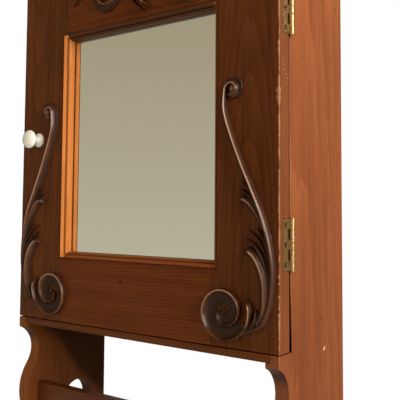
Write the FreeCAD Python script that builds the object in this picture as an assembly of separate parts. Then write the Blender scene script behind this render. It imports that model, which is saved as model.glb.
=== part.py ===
import FreeCAD, Part
import math
import os

# A wall-hung medicine cabinet with a mirrored, carved door, in millimetres.
# Frame: +Z up, the front faces -Y, the wall is the plane y = 0, and the origin is midway between the
# two hanging holes, where they come out at the wall.

# ---- Driving dimensions -------------------------------------------------------------------------

# Overall
case_width = 480.0
total_depth = 185.0
door_height = 555.0

# Boards of the case
side_thickness = 20.0
top_thickness = 19.0
bottom_thickness = 9.5
shelf_thickness = 12.0
back_thickness = 8.0
back_rabbet_width = 9.0
dado_depth = 6.0
board_end_clearance = 0.2
back_board_count = 4
back_board_gap = 0.6

# Door and its fit in the case
door_thickness = 25.0
door_gap_behind = 2.5
door_gap_edges = 1.5
stile_width = 101.0
rail_top_height = 115.5
rail_bottom_height = 106.0
tenon_length = 42.0
tenon_thickness = 8.0
tenon_shoulder = 18.0
tenon_clearance = 0.15

# Moulded edge round the mirror: a bevel, a narrow quirk, a second bevel, then a straight lip
moulding_width = 7.5
bevel_width = 4.5
bevel_depth = 4.3
quirk_depth = 1.5
quirk_inset = 1.0
bead_depth = 3.2
glass_setback = 18.0
rabbet_width = 6.5
glass_clearance = 0.5
glass_thickness = 3.0
backing_thickness = 3.0

# Scrolled lower ends of the sides, below the ledge that the door stands over
neck_depth = 24.5
neck_drop = 52.0
lobe_setback = 2.2
lobe_radius = 70.0
lobe_drop = 118.0
side_end_drop = 188.0
wall_cove_radius = 25.0
pierced_hole_radius = 30.0
pierced_hole_setback = 112.0
pierced_hole_drop = 150.5

# Rail between the lower ends
lower_rail_height = 50.0
lower_rail_thickness = 16.0
lower_rail_drop = 107.0

# Cap and cove mouldings at the top
cap_thickness = 14.0
cap_overhang = 18.0
cap_rounding = 5.0
cove_size = 13.0
cove_lip = 2.0

# Hanging rail and its two screw holes
hanging_rail_height = 60.0
hanging_rail_thickness = 18.0
hanging_hole_radius = 2.5
hanging_hole_spacing = 400.0

# Shelves, as heights of their undersides above the case bottom
shelf_heights = {"shelf_lower": 182.0, "shelf_upper": 367.0}
shelf_setback = 7.0

# Butt hinges
hinge_height = 63.5
hinge_leaf_width = 15.5
hinge_leaf_thickness = 1.8
hinge_knuckles = 5
hinge_knuckle_gap = 0.3
hinge_barrel_radius = 3.1
hinge_pin_radius = 1.6
hinge_running_clearance = 0.06
hinge_pin_head_height = 1.2
hinge_pin_head_radius = 2.8
hinge_proud = 3.6
hinge_end_inset = 98.5
hinge_screw_spacing = 24.3
hinge_screw_inset = 7.0
mortise_clearance = 0.1
edge_relief = 4.5
edge_relief_start = 6.0

# Countersunk wood screws of the hinges
screw_head_radius = 3.4
screw_head_depth = 1.7
screw_shank_radius = 1.5
screw_length = 14.0
screw_slot_width = 0.8
screw_slot_depth = 0.8
screw_clearance = 0.05

# Finishing nails
nail_radius = 0.9
nail_head_radius = 1.6
nail_head_depth = 1.2
nail_length = 38.0
back_nail_length = 22.0
back_nail_pitch = 60.0
side_nail_inset = 37.0
nail_clearance = 0.05

# Porcelain knob and its bolt
knob_edge_inset = 40.0
knob_height_above_opening = 185.0
knob_head_radius = 14.6
knob_head_half_depth = 7.0
knob_projection = 28.0
knob_neck_radius = 5.6
knob_flange_radius = 11.3
knob_flange_depth = 4.0
knob_flange_rounding = 1.4
knob_bolt_radius = 2.0
knob_bolt_engagement = 18.0
knob_bolt_end = 1.2
bolt_clearance = 0.1
washer_radius = 6.0
washer_thickness = 1.0
nut_across_flats = 7.0
nut_thickness = 3.0

# Brads that hold the mirror's backing
brad_radius = 0.7
brad_length = 9.0
brad_bite = 5.0
brads_per_side = 3

# Applied carvings
carving_depth = 10.0
stem_width = 11.0
stem_start_width = 7.0
stem_end_width = 8.0
tip_width = 1.6

# ---- Planes worked out from them ----------------------------------------------------------------

half_width = case_width / 2
inner_half = half_width - side_thickness
front_y = -total_depth
door_back_y = front_y + door_thickness
case_front_y = door_back_y + door_gap_behind
back_front_y = -back_thickness

top_under_z = hanging_rail_height / 2
top_upper_z = top_under_z + top_thickness
door_top_z = top_under_z - door_gap_edges
door_bottom_z = door_top_z - door_height
bottom_upper_z = door_bottom_z - door_gap_edges
bottom_under_z = bottom_upper_z - bottom_thickness
side_bottom_z = bottom_upper_z - side_end_drop

sight_half = half_width - stile_width + moulding_width
sight_bottom_z = door_bottom_z + rail_bottom_height - moulding_width
sight_top_z = door_top_z - rail_top_height + moulding_width
glass_front_y = front_y + glass_setback
glass_back_y = glass_front_y + glass_thickness
backing_back_y = glass_back_y + backing_thickness

barrel_x = half_width + hinge_proud
barrel_y = door_back_y + door_gap_behind / 2
hinge_centres = {
    "upper": door_top_z - hinge_end_inset - hinge_height / 2,
    "lower": door_bottom_z + hinge_end_inset + hinge_height / 2,
}
hinge_pin_hole_radius = hinge_pin_radius + hinge_running_clearance

knob_x = -half_width + knob_edge_inset
knob_z = sight_bottom_z + knob_height_above_opening

X_AXIS = FreeCAD.Vector(1, 0, 0)
Y_AXIS = FreeCAD.Vector(0, 1, 0)
Z_AXIS = FreeCAD.Vector(0, 0, 1)


# ---- Helpers ------------------------------------------------------------------------------------


def vec(x, y, z):
    return FreeCAD.Vector(x, y, z)


def box(x0, x1, y0, y1, z0, z1):
    """A box between two corners, given as ranges on each axis."""
    return Part.makeBox(x1 - x0, y1 - y0, z1 - z0, vec(x0, y0, z0))


def cylinder(radius, start, axis, length):
    return Part.makeCylinder(radius, length, start, axis)


def prism_along_x(points, x0, x1):
    """A straight-sided outline in (y, z), extruded from x0 to x1."""
    wire = Part.makePolygon([vec(x0, y, z) for y, z in points + points[:1]])
    return Part.Face(wire).extrude(vec(x1 - x0, 0, 0))


def mirrored(shape):
    """The same piece on the other side of the plane x = 0."""
    return shape.mirror(vec(0, 0, 0), X_AXIS)


def rect_loft(inset0, y0, inset1, y1):
    """A rectangular frustum in the mirror opening, its sides drawn in by an inset at each end."""
    wires = []
    for inset, y in ((inset0, y0), (inset1, y1)):
        half = sight_half - inset
        low = sight_bottom_z + inset
        high = sight_top_z - inset
        corners = [vec(-half, y, low), vec(half, y, low), vec(half, y, high), vec(-half, y, high)]
        wires.append(Part.makePolygon(corners + corners[:1]))
    return Part.makeLoft(wires, True, True)


def cut_all(shape, tools):
    for tool in tools:
        shape = shape.cut(tool)
    return shape


def screw_at(seat, direction):
    """A slotted countersunk screw whose head is flush at seat and which points along direction."""
    head = Part.makeCone(screw_head_radius, screw_shank_radius, screw_head_depth, seat, direction)
    shank_length = screw_length - screw_shank_radius
    shank = cylinder(screw_shank_radius, seat, direction, shank_length)
    point = Part.makeCone(
        screw_shank_radius, 0.2, screw_shank_radius, seat + direction * shank_length, direction
    )
    across = Z_AXIS.cross(direction)
    slot = Part.makeBox(2 * screw_head_radius, screw_slot_width, screw_slot_depth)
    slot.translate(vec(-screw_head_radius, -screw_slot_width / 2, 0))
    turn = FreeCAD.Rotation(across, Z_AXIS, direction, "ZXY")
    slot.Placement = FreeCAD.Placement(seat, turn) * slot.Placement
    return head.fuse([shank, point]).cut(slot)


def screw_hole(seat, direction):
    """The countersunk hole that such a screw needs, with its clearance."""
    gap = screw_clearance
    head = Part.makeCone(
        screw_head_radius + gap, screw_shank_radius + gap, screw_head_depth + gap, seat, direction
    )
    return head.fuse(cylinder(screw_shank_radius + gap, seat, direction, screw_length + gap))


def nail_at(seat, direction, length):
    """A finishing nail with its small head set flush at seat."""
    head = cylinder(nail_head_radius, seat, direction, nail_head_depth)
    return head.fuse(cylinder(nail_radius, seat, direction, length))


def nail_hole(seat, direction, length):
    gap = nail_clearance
    head = cylinder(nail_head_radius + gap, seat, direction, nail_head_depth)
    return head.fuse(cylinder(nail_radius + gap, seat, direction, length + gap))


# ---- Places of fasteners ------------------------------------------------------------------------


def hinge_screw_heights(centre_z):
    """The three screw heights of a hinge, evenly spaced about its middle."""
    return [centre_z + k * hinge_screw_spacing for k in (-1, 0, 1)]


def hinge_screw_seats(leaf):
    """(seat, direction) of every screw of the door leaves or of the case leaves."""
    seats = []
    for centre_z in hinge_centres.values():
        for z in hinge_screw_heights(centre_z):
            if leaf == "door":
                y = door_back_y - hinge_leaf_width + hinge_screw_inset
                seats.append((vec(half_width, y, z), -X_AXIS))
            else:
                x = half_width - hinge_leaf_width + hinge_screw_inset
                seats.append((vec(x, case_front_y, z), Y_AXIS))
    return seats


def shelf_under_z(name):
    return bottom_upper_z + shelf_heights[name]


def side_nail_seats():
    """(seat, direction) of the nails driven through the sides into the top, the bottom and shelves."""
    middles = [top_under_z + top_thickness / 2, bottom_upper_z - bottom_thickness / 2]
    middles += [shelf_under_z(name) + shelf_thickness / 2 for name in shelf_heights]
    seats = []
    for z in middles:
        for y in (case_front_y + side_nail_inset, back_front_y - side_nail_inset):
            seats.append((vec(half_width, y, z), -X_AXIS))
            seats.append((vec(-half_width, y, z), X_AXIS))
    return seats


def back_board_edges():
    """(left, right) of each vertical back board, in their rabbets between the sides."""
    span_left = -inner_half - back_rabbet_width + board_end_clearance
    pitch = -2 * span_left / back_board_count
    starts = [span_left + pitch * k for k in range(back_board_count)]
    return [(x + back_board_gap / 2, x + pitch - back_board_gap / 2) for x in starts]


def back_nail_seats():
    """(seat, direction) of the nails through the back boards into the top and into the shelves."""
    heights = [top_under_z + top_thickness / 2]
    heights += [shelf_under_z(name) + shelf_thickness / 2 for name in shelf_heights]
    heights.append(bottom_upper_z - bottom_thickness / 2)
    xs = []
    for left, right in back_board_edges():
        middle = (left + right) / 2
        xs += [middle - back_nail_pitch / 2, middle + back_nail_pitch / 2]
    return [(vec(x, 0, z), -Y_AXIS) for z in heights for x in xs]


def hanging_hole_cutters():
    holes = []
    for x in (-hanging_hole_spacing / 2, hanging_hole_spacing / 2):
        depth = back_thickness + hanging_rail_thickness
        holes.append(cylinder(hanging_hole_radius, vec(x, -depth, 0), Y_AXIS, depth))
    return holes


# ---- Case ---------------------------------------------------------------------------------------


def side_face():
    """The outline of a side in (y, z): a straight board with a scrolled front below the ledge."""
    ledge_z = bottom_upper_z
    neck_y = front_y + neck_depth
    neck_z = ledge_z - neck_drop
    lobe_y = front_y + lobe_setback + lobe_radius
    lobe_z = ledge_z - lobe_drop
    # The hollow and the lobe are two arcs that meet smoothly, so their radii add up to the
    # distance between their centres, which gives the hollow's radius.
    step = neck_depth - lobe_setback
    rise = neck_z - lobe_z
    hollow_radius = (step**2 + rise**2) / (2 * step) - lobe_radius
    hollow_y = neck_y - hollow_radius
    reach = hollow_radius / (hollow_radius + lobe_radius)
    meet = (hollow_y + (lobe_y - hollow_y) * reach, neck_z + (lobe_z - neck_z) * reach)
    start_z = neck_z + math.sqrt(hollow_radius**2 - (front_y - hollow_y) ** 2)
    cove_y = -wall_cove_radius
    diagonal = math.sqrt(0.5)

    def point(y, z):
        return vec(0, y, z)

    lobe_front = point(lobe_y - lobe_radius, lobe_z)
    lobe_bottom = point(lobe_y, lobe_z - lobe_radius)
    lobe_middle = point(lobe_y - lobe_radius * diagonal, lobe_z - lobe_radius * diagonal)
    lobe_upper_angle = math.atan2(meet[1] - lobe_z, meet[0] - lobe_y)
    upper_middle_angle = (lobe_upper_angle + math.pi) / 2
    lobe_upper_middle = point(
        lobe_y + lobe_radius * math.cos(upper_middle_angle),
        lobe_z + lobe_radius * math.sin(upper_middle_angle),
    )
    cove_middle = point(
        -wall_cove_radius * diagonal, side_bottom_z + wall_cove_radius * diagonal
    )
    edges = [
        Part.makeLine(point(case_front_y, top_upper_z), point(case_front_y, ledge_z)),
        Part.makeLine(point(case_front_y, ledge_z), point(front_y, ledge_z)),
        Part.makeLine(point(front_y, ledge_z), point(front_y, start_z)),
        Part.Arc(point(front_y, start_z), point(neck_y, neck_z), point(*meet)).toShape(),
        Part.Arc(point(*meet), lobe_upper_middle, lobe_front).toShape(),
        Part.Arc(lobe_front, lobe_middle, lobe_bottom).toShape(),
        Part.makeLine(lobe_bottom, point(cove_y, side_bottom_z)),
        Part.Arc(
            point(cove_y, side_bottom_z), cove_middle, point(0, side_bottom_z + wall_cove_radius)
        ).toShape(),
        Part.makeLine(point(0, side_bottom_z + wall_cove_radius), point(0, top_upper_z)),
        Part.makeLine(point(0, top_upper_z), point(case_front_y, top_upper_z)),
    ]
    return Part.Face(Part.Wire(edges))


def make_side(hinge_side):
    """A side at x > 0 with its housings; the hinge side also has mortises and a relieved edge."""
    gap = board_end_clearance
    side = side_face().extrude(vec(side_thickness, 0, 0))
    side.translate(vec(inner_half, 0, 0))
    deep = inner_half + dado_depth
    cuts = [
        box(inner_half - 1, deep, case_front_y - 1, back_front_y, top_under_z, top_upper_z + 1),
        box(inner_half - 1, deep, front_y - 1, back_front_y, bottom_under_z, bottom_upper_z),
        box(
            inner_half - 1, inner_half + back_rabbet_width, back_front_y, 1,
            side_bottom_z - 1, top_upper_z + 1,
        ),
        cylinder(
            pierced_hole_radius,
            vec(inner_half - 1, front_y + pierced_hole_setback, bottom_upper_z - pierced_hole_drop),
            X_AXIS,
            side_thickness + 2,
        ),
    ]
    for name in shelf_heights:
        low = shelf_under_z(name)
        shelf_front_y = case_front_y + shelf_setback
        high = low + shelf_thickness
        cuts.append(box(inner_half - 1, deep, shelf_front_y, back_front_y, low, high))
    rail_y = front_y + neck_depth
    rail_top_z = bottom_upper_z - lower_rail_drop
    cuts.append(
        box(
            inner_half - 1, deep, rail_y, rail_y + lower_rail_thickness,
            rail_top_z - lower_rail_height, rail_top_z,
        )
    )
    cuts += [nail_hole(seat, way, nail_length) for seat, way in side_nail_seats() if seat.x > 0]
    if hinge_side:
        cuts += hinge_mortises("case")
        cuts += [screw_hole(seat, way) for seat, way in hinge_screw_seats("case")]
        relief_top = hinge_centres["lower"] - hinge_height / 2 - edge_relief_start
        relief = [
            (case_front_y - 1, relief_top), (case_front_y, relief_top),
            (case_front_y + edge_relief, bottom_upper_z), (case_front_y - 1, bottom_upper_z),
        ]
        cuts.append(prism_along_x(relief, inner_half - 1, half_width + 1))
    return cut_all(side, cuts)


def make_case_board(low, high, board_front_y):
    """A horizontal board housed in both sides, with the side nails' holes in its ends."""
    half = inner_half + dado_depth - board_end_clearance
    board = box(-half, half, board_front_y, back_front_y, low, high)
    near = [s for s in side_nail_seats() if low < s[0].z < high]
    board = cut_all(board, [nail_hole(seat, way, nail_length) for seat, way in near])
    near_back = [s for s in back_nail_seats() if low < s[0].z < high]
    return cut_all(board, [nail_hole(seat, way, back_nail_length) for seat, way in near_back])


def make_case_top():
    """The top is housed in the sides, and its front part covers their ends and the door's thickness."""
    board = make_case_board(top_under_z, top_upper_z, case_front_y)
    front = box(-half_width, half_width, front_y, case_front_y, top_under_z, top_upper_z)
    return board.fuse(front).removeSplitter()


def make_top_cap():
    """The cap lies on the top and overhangs the front and both sides with a rounded edge."""
    reach = half_width + cap_overhang
    cap = box(-reach, reach, front_y - cap_overhang, 0, top_upper_z, top_upper_z + cap_thickness)
    rounded = []
    for edge in cap.Edges:
        middle = edge.CenterOfMass
        upright = abs(edge.tangentAt(edge.FirstParameter).z) > 0.5
        on_wall = abs(middle.y) < 1e-6
        if not upright and not on_wall:
            rounded.append(edge)
    return cap.makeFillet(cap_rounding, rounded)


def cove_outline(at_y):
    """A cove section in the (y, z) plane: back against the case at at_y, top under the cap."""
    top_z = top_upper_z
    back_top = vec(0, at_y, top_z)
    front_top = vec(0, at_y - cove_size, top_z)
    lip = cove_lip
    hollow = cove_size - lip
    diagonal = math.sqrt(0.5)
    start = vec(0, at_y - cove_size, top_z - lip)
    end = vec(0, at_y - lip, top_z - cove_size)
    middle = vec(
        0, at_y - cove_size + hollow * diagonal, top_z - cove_size + hollow * diagonal
    )
    back_low = vec(0, at_y, top_z - cove_size)
    edges = [
        Part.makeLine(back_top, front_top),
        Part.makeLine(front_top, start),
        Part.Arc(start, middle, end).toShape(),
        Part.makeLine(end, back_low),
        Part.makeLine(back_low, back_top),
    ]
    return Part.Face(Part.Wire(edges))


def mitre_wedge(front_side):
    """A large prism on one side of the mitre line at the front right corner."""
    far = 4 * cove_size
    corner = vec(half_width, front_y, 0)
    outer = vec(half_width + far, front_y - far, 0)
    other = vec(half_width + far, front_y + far, 0)
    if front_side:
        other = vec(half_width - far, front_y - far, 0)
    low = top_upper_z - 2 * cove_size
    wire = Part.makePolygon([corner, outer, other, corner])
    wedge = Part.Face(wire).extrude(vec(0, 0, 3 * cove_size))
    wedge.translate(vec(0, 0, low))
    return wedge


def make_cove_front():
    half = half_width + cove_size
    cove = cove_outline(front_y).extrude(vec(2 * half, 0, 0))
    cove.translate(vec(-half, 0, 0))
    cutter = mitre_wedge(False)
    return cove.cut(cutter).cut(mirrored(cutter))


def make_cove_right():
    """The side cove returns from the front mitre to the wall."""
    length = total_depth + cove_size
    cove = cove_outline(0).extrude(vec(length, 0, 0))
    cove.rotate(vec(0, 0, 0), Z_AXIS, 90)
    cove.translate(vec(half_width, -length, 0))
    return cove.cut(mitre_wedge(True))


def make_back_board(left, right):
    low = bottom_under_z
    board = box(left, right, back_front_y, 0, low, top_upper_z)
    cuts = hanging_hole_cutters()
    cuts += [
        nail_hole(seat, way, back_nail_length)
        for seat, way in back_nail_seats()
        if left < seat.x < right
    ]
    return cut_all(board, cuts)


def make_hanging_rail():
    rail = box(
        -inner_half, inner_half, back_front_y - hanging_rail_thickness, back_front_y,
        top_under_z - hanging_rail_height, top_under_z,
    )
    return cut_all(rail, hanging_hole_cutters())


def make_shelf(name):
    low = shelf_under_z(name)
    return make_case_board(low, low + shelf_thickness, case_front_y + shelf_setback)


def make_lower_rail():
    half = inner_half + dado_depth - board_end_clearance
    rail_y = front_y + neck_depth
    top_z = bottom_upper_z - lower_rail_drop
    return box(
        -half, half, rail_y, rail_y + lower_rail_thickness, top_z - lower_rail_height, top_z
    )


# ---- Door frame ---------------------------------------------------------------------------------


def mirror_opening():
    """The moulded opening and the rabbet behind it, as one cutter for stiles and rails."""
    slope = bevel_width / bevel_depth
    quirk = bevel_width - quirk_inset
    rabbet = moulding_width - rabbet_width
    bevel_y = front_y + bevel_depth
    quirk_y = bevel_y + quirk_depth
    bead_y = quirk_y + bead_depth
    return [
        rect_loft(-slope, front_y - 1.0, bevel_width, bevel_y),
        rect_loft(quirk, bevel_y, quirk, quirk_y),
        rect_loft(bevel_width, quirk_y, moulding_width, bead_y),
        rect_loft(moulding_width, bead_y, moulding_width, glass_front_y),
        rect_loft(rabbet, glass_front_y, rabbet, door_back_y + 1.0),
    ]


def tenon_span(rail):
    """(low, high) of a rail's tenon, held back from the door's end and from the rabbet."""
    if rail == "top":
        return sight_top_z + tenon_shoulder, door_top_z - tenon_shoulder
    return door_bottom_z + tenon_shoulder, sight_bottom_z - tenon_shoulder


def tenon_box(rail, clearance):
    low, high = tenon_span(rail)
    middle = (front_y + door_back_y) / 2
    inner = half_width - stile_width
    return box(
        inner - 1, inner + tenon_length + clearance,
        middle - tenon_thickness / 2 - clearance, middle + tenon_thickness / 2 + clearance,
        low - clearance, high + clearance,
    )


def knob_bolt_hole():
    radius = knob_bolt_radius + bolt_clearance
    return cylinder(radius, vec(knob_x, front_y - 1, knob_z), Y_AXIS, door_thickness + 2)


def make_stile(hinge_side):
    """A full-height stile at x > 0, mortised for the rails."""
    stile = box(
        half_width - stile_width, half_width, front_y, door_back_y, door_bottom_z, door_top_z
    )
    cuts = mirror_opening() + [tenon_box(rail, tenon_clearance) for rail in ("top", "bottom")]
    if hinge_side:
        cuts += hinge_mortises("door")
        cuts += [screw_hole(seat, way) for seat, way in hinge_screw_seats("door")]
    stile = cut_all(stile, cuts)
    if not hinge_side:
        stile = mirrored(stile).cut(knob_bolt_hole())
    return cut_all(stile, brad_holes())


def make_rail(which):
    """A rail between the stiles, with a tenon at each end."""
    half = half_width - stile_width
    if which == "top":
        rail = box(-half, half, front_y, door_back_y, door_top_z - rail_top_height, door_top_z)
    else:
        rail = box(
            -half, half, front_y, door_back_y, door_bottom_z, door_bottom_z + rail_bottom_height
        )
    rail = cut_all(rail, mirror_opening())
    tenon = tenon_box(which, 0.0)
    rail = rail.fuse([tenon, mirrored(tenon)]).removeSplitter()
    return cut_all(rail, brad_holes())


def glass_rectangle(y0, y1):
    """A sheet that drops into the rabbet with its clearance all round."""
    inset = moulding_width - rabbet_width + glass_clearance
    half = sight_half - inset
    return box(-half, half, y0, y1, sight_bottom_z + inset, sight_top_z - inset)


def brad_seats():
    """(start, direction) of each brad: its free end lies over the backing, its point in the frame."""
    inset = moulding_width - rabbet_width
    y = backing_back_y + brad_radius
    free = brad_length - brad_bite
    seats = []
    for k in range(brads_per_side):
        share = (k + 0.5) / brads_per_side
        z = sight_bottom_z + share * (sight_top_z - sight_bottom_z)
        x = -sight_half + share * 2 * sight_half
        seats.append((vec(sight_half - inset - free, y, z), X_AXIS))
        seats.append((vec(-sight_half + inset + free, y, z), -X_AXIS))
        seats.append((vec(x, y, sight_top_z - inset - free), Z_AXIS))
        seats.append((vec(x, y, sight_bottom_z + inset + free), -Z_AXIS))
    return seats


def brad_holes():
    radius = brad_radius + nail_clearance
    return [cylinder(radius, start, way, brad_length + nail_clearance) for start, way in brad_seats()]


# ---- Carvings -----------------------------------------------------------------------------------


def spiral(centre, radius0, radius1, angle0, angle1, steps):
    """Points of a spiral in (x, z) whose radius changes evenly with its angle, in degrees."""
    points = []
    for k in range(steps + 1):
        share = k / steps
        angle = math.radians(angle0 + share * (angle1 - angle0))
        radius = radius0 + share * (radius1 - radius0)
        points.append((centre[0] + radius * math.cos(angle), centre[1] + radius * math.sin(angle)))
    return points


def ribbon(points, widths):
    """A flat band along (x, z) points, as wide at each as widths says, raised off the door."""
    left = []
    right = []
    last = len(points) - 1
    for k, (x, z) in enumerate(points):
        ahead = points[min(k + 1, last)]
        behind = points[max(k - 1, 0)]
        dx = ahead[0] - behind[0]
        dz = ahead[1] - behind[1]
        size = math.hypot(dx, dz)
        half = widths[k] / 2
        left.append(vec(x - dz / size * half, front_y, z + dx / size * half))
        right.append(vec(x + dz / size * half, front_y, z - dx / size * half))
    edges = []
    for side in (left, right[::-1]):
        curve = Part.BSplineCurve()
        curve.interpolate(side)
        edges.append(curve.toShape())
    edges.append(Part.makeLine(left[-1], right[-1]))
    edges.append(Part.makeLine(right[0], left[0]))
    wire = Part.Wire(Part.__sortEdges__(edges))
    return Part.Face(wire).extrude(vec(0, -carving_depth, 0))


def taper(count, start, middle, end):
    """Widths that run from start through middle to end."""
    widths = []
    for k in range(count):
        share = k / (count - 1)
        if share < 0.5:
            widths.append(start + (middle - start) * share * 2)
        else:
            widths.append(middle + (end - middle) * (share - 0.5) * 2)
    return widths


def carving(path, leaves):
    """A scroll: one band along the path and leaves that spring from it."""
    bands = [ribbon(path, taper(len(path), stem_start_width, stem_width, stem_end_width))]
    for leaf in leaves:
        bands.append(ribbon(leaf, taper(len(leaf), tip_width, stem_width, tip_width)))
    return bands[0].fuse(bands[1:]).removeSplitter()


def make_carving_right():
    """The scroll on the hinge stile: a small curl above, a long S stem and a large volute below."""
    x0 = half_width - stile_width / 2
    z0 = sight_bottom_z
    curl = spiral((x0 - 14.5, z0 + 229), 4.0, 14.5, -160, 180, 14)
    stem = [
        (-29.0, 206), (-23.5, 186), (-13.5, 160), (0.5, 128), (14.0, 98), (27.0, 68), (36.5, 40),
        (42.5, 10), (41.5, -20), (33.5, -48), (18.0, -70),
    ]
    stem = [(x0 + x, z0 + z) for x, z in stem]
    volute = spiral((x0 - 28, z0 - 54), 27.0, 7.0, -75, -615, 26)
    path = curl + stem + volute
    upper_leaf = [(0.5, 98), (10.0, 86), (20.0, 70), (29.0, 54), (35.0, 38)]
    lower_leaf = [(4.5, 32), (19.0, 16), (29.0, -4), (34.0, -24), (32.0, -46)]
    petal = [(4.0, -38), (8.0, -48), (7.0, -60), (-1.0, -72)]
    leaves = [[(x0 + x, z0 + z) for x, z in leaf] for leaf in (upper_leaf, lower_leaf, petal)]
    return carving(path, leaves)


def make_carving_top():
    """The scroll on the top rail, lying on its side with its volute left of the middle."""
    z0 = sight_top_z
    volute = spiral((-48, z0 + 42), 6.0, 23.5, 540, 80, 24)
    stem = [(-14, 66), (20, 63), (56, 54), (88, 40)]
    stem = [(x, z0 + z) for x, z in stem]
    curl = spiral((104, z0 + 22), 15.0, 5.0, 115, -240, 14)
    leaf_left = [(-129, z0 + 46), (-112, z0 + 60), (-92, z0 + 66), (-72, z0 + 62), (-60, z0 + 58)]
    leaf_right = [(37, z0 + 12), (22, z0 + 22), (8, z0 + 36), (-6, z0 + 52), (-16, z0 + 64)]
    return carving(volute + stem + curl, [leaf_left, leaf_right])


# ---- Knob ---------------------------------------------------------------------------------------


def knob_bolt_tip_y():
    """Where the bolt's end stands behind its nut."""
    return door_back_y + washer_thickness + nut_thickness + knob_bolt_end


def make_knob():
    """A turned porcelain knob: a flange on the door, a neck and a flattened round head."""
    head_middle = knob_projection - knob_head_half_depth
    flange = cylinder(knob_flange_radius, vec(0, 0, 0), Z_AXIS, knob_flange_depth)
    flange = flange.makeFillet(knob_flange_rounding, [flange.Edges[0]])
    neck = cylinder(knob_neck_radius, vec(0, 0, 0), Z_AXIS, head_middle)
    head = Part.makeSphere(knob_head_radius)
    squash = FreeCAD.Matrix()
    squash.scale(1, 1, knob_head_half_depth / knob_head_radius)
    head = head.transformGeometry(squash)
    head.translate(vec(0, 0, head_middle))
    knob = flange.fuse([neck, head])
    bore = cylinder(knob_bolt_radius + bolt_clearance, vec(0, 0, -1), Z_AXIS, knob_bolt_engagement + 1)
    knob = knob.cut(bore)
    knob.rotate(vec(0, 0, 0), X_AXIS, 90)
    knob.translate(vec(knob_x, front_y, knob_z))
    return knob


def make_knob_bolt():
    start = vec(knob_x, front_y - knob_bolt_engagement, knob_z)
    return cylinder(knob_bolt_radius, start, Y_AXIS, knob_bolt_tip_y() - start.y)


def make_knob_washer():
    start = vec(knob_x, door_back_y, knob_z)
    washer = cylinder(washer_radius, start, Y_AXIS, washer_thickness)
    return washer.cut(cylinder(knob_bolt_radius + bolt_clearance, start, Y_AXIS, washer_thickness))


def make_knob_nut():
    """A square nut on the bolt."""
    half = nut_across_flats / 2
    y0 = door_back_y + washer_thickness
    nut = box(knob_x - half, knob_x + half, y0, y0 + nut_thickness, knob_z - half, knob_z + half)
    hole = cylinder(knob_bolt_radius + bolt_clearance, vec(knob_x, y0, knob_z), Y_AXIS, nut_thickness)
    return nut.cut(hole)


# ---- Hinges -------------------------------------------------------------------------------------


def hinge_mortises(part):
    """The recesses that take the door leaves or the case leaves."""
    gap = mortise_clearance
    thickness = hinge_leaf_thickness + gap
    cuts = []
    for centre_z in hinge_centres.values():
        low = centre_z - hinge_height / 2 - gap
        high = centre_z + hinge_height / 2 + gap
        if part == "door":
            cuts.append(
                box(half_width - thickness, half_width + 1, door_back_y - hinge_leaf_width - gap,
                    door_back_y + 1, low, high)
            )
        else:
            cuts.append(
                box(half_width - hinge_leaf_width - gap, half_width + 1, case_front_y - 1,
                    case_front_y + thickness, low, high)
            )
    return cuts


def knuckle_spans(centre_z, part):
    """(low, high) of the knuckles of one leaf: the door has the odd ones, the case the even ones."""
    pitch = hinge_height / hinge_knuckles
    bottom = centre_z - hinge_height / 2
    first = 0 if part == "door" else 1
    spans = []
    for k in range(first, hinge_knuckles, 2):
        low = bottom + k * pitch + hinge_knuckle_gap / 2
        spans.append((low, low + pitch - hinge_knuckle_gap))
    return spans


def web(part, low, high):
    """The strip that joins a leaf's edge to one of its knuckles."""
    half = hinge_leaf_thickness / 2
    if part == "door":
        start = vec(half_width - half, door_back_y - half, low)
    else:
        start = vec(half_width - half, case_front_y + half, low)
    reach = vec(barrel_x - start.x, barrel_y - start.y, 0)
    angle = math.degrees(math.atan2(reach.y, reach.x))
    strip = Part.makeBox(reach.Length, 2 * half, high - low, vec(0, -half, 0))
    strip.rotate(vec(0, 0, 0), Z_AXIS, angle)
    strip.translate(start)
    return strip


def make_hinge_leaf(part, centre_z):
    """One leaf with its knuckles; the door leaf lies on the door's edge, the case leaf on its front."""
    low = centre_z - hinge_height / 2
    high = centre_z + hinge_height / 2
    if part == "door":
        plate = box(
            half_width - hinge_leaf_thickness, half_width, door_back_y - hinge_leaf_width,
            door_back_y, low, high,
        )
    else:
        plate = box(
            half_width - hinge_leaf_width, half_width, case_front_y,
            case_front_y + hinge_leaf_thickness, low, high,
        )
    pieces = []
    for k_low, k_high in knuckle_spans(centre_z, part):
        pieces.append(web(part, k_low, k_high))
        pieces.append(cylinder(hinge_barrel_radius, vec(barrel_x, barrel_y, k_low), Z_AXIS, k_high - k_low))
    leaf = plate.fuse(pieces).removeSplitter()
    hole_start = vec(barrel_x, barrel_y, low - 1)
    leaf = leaf.cut(cylinder(hinge_pin_hole_radius, hole_start, Z_AXIS, hinge_height + 2))
    return cut_all(leaf, [screw_hole(seat, way) for seat, way in hinge_screw_seats(part)])


def make_hinge_pin(centre_z):
    """A pin with a low round head at each end of the barrel."""
    low = centre_z - hinge_height / 2
    pin = cylinder(hinge_pin_radius, vec(barrel_x, barrel_y, low), Z_AXIS, hinge_height)
    heads = []
    for z in (low - hinge_pin_head_height, low + hinge_height):
        start = vec(barrel_x, barrel_y, z)
        heads.append(cylinder(hinge_pin_head_radius, start, Z_AXIS, hinge_pin_head_height))
    return pin.fuse(heads).removeSplitter()


# ---- All sub-parts ------------------------------------------------------------------------------


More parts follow.
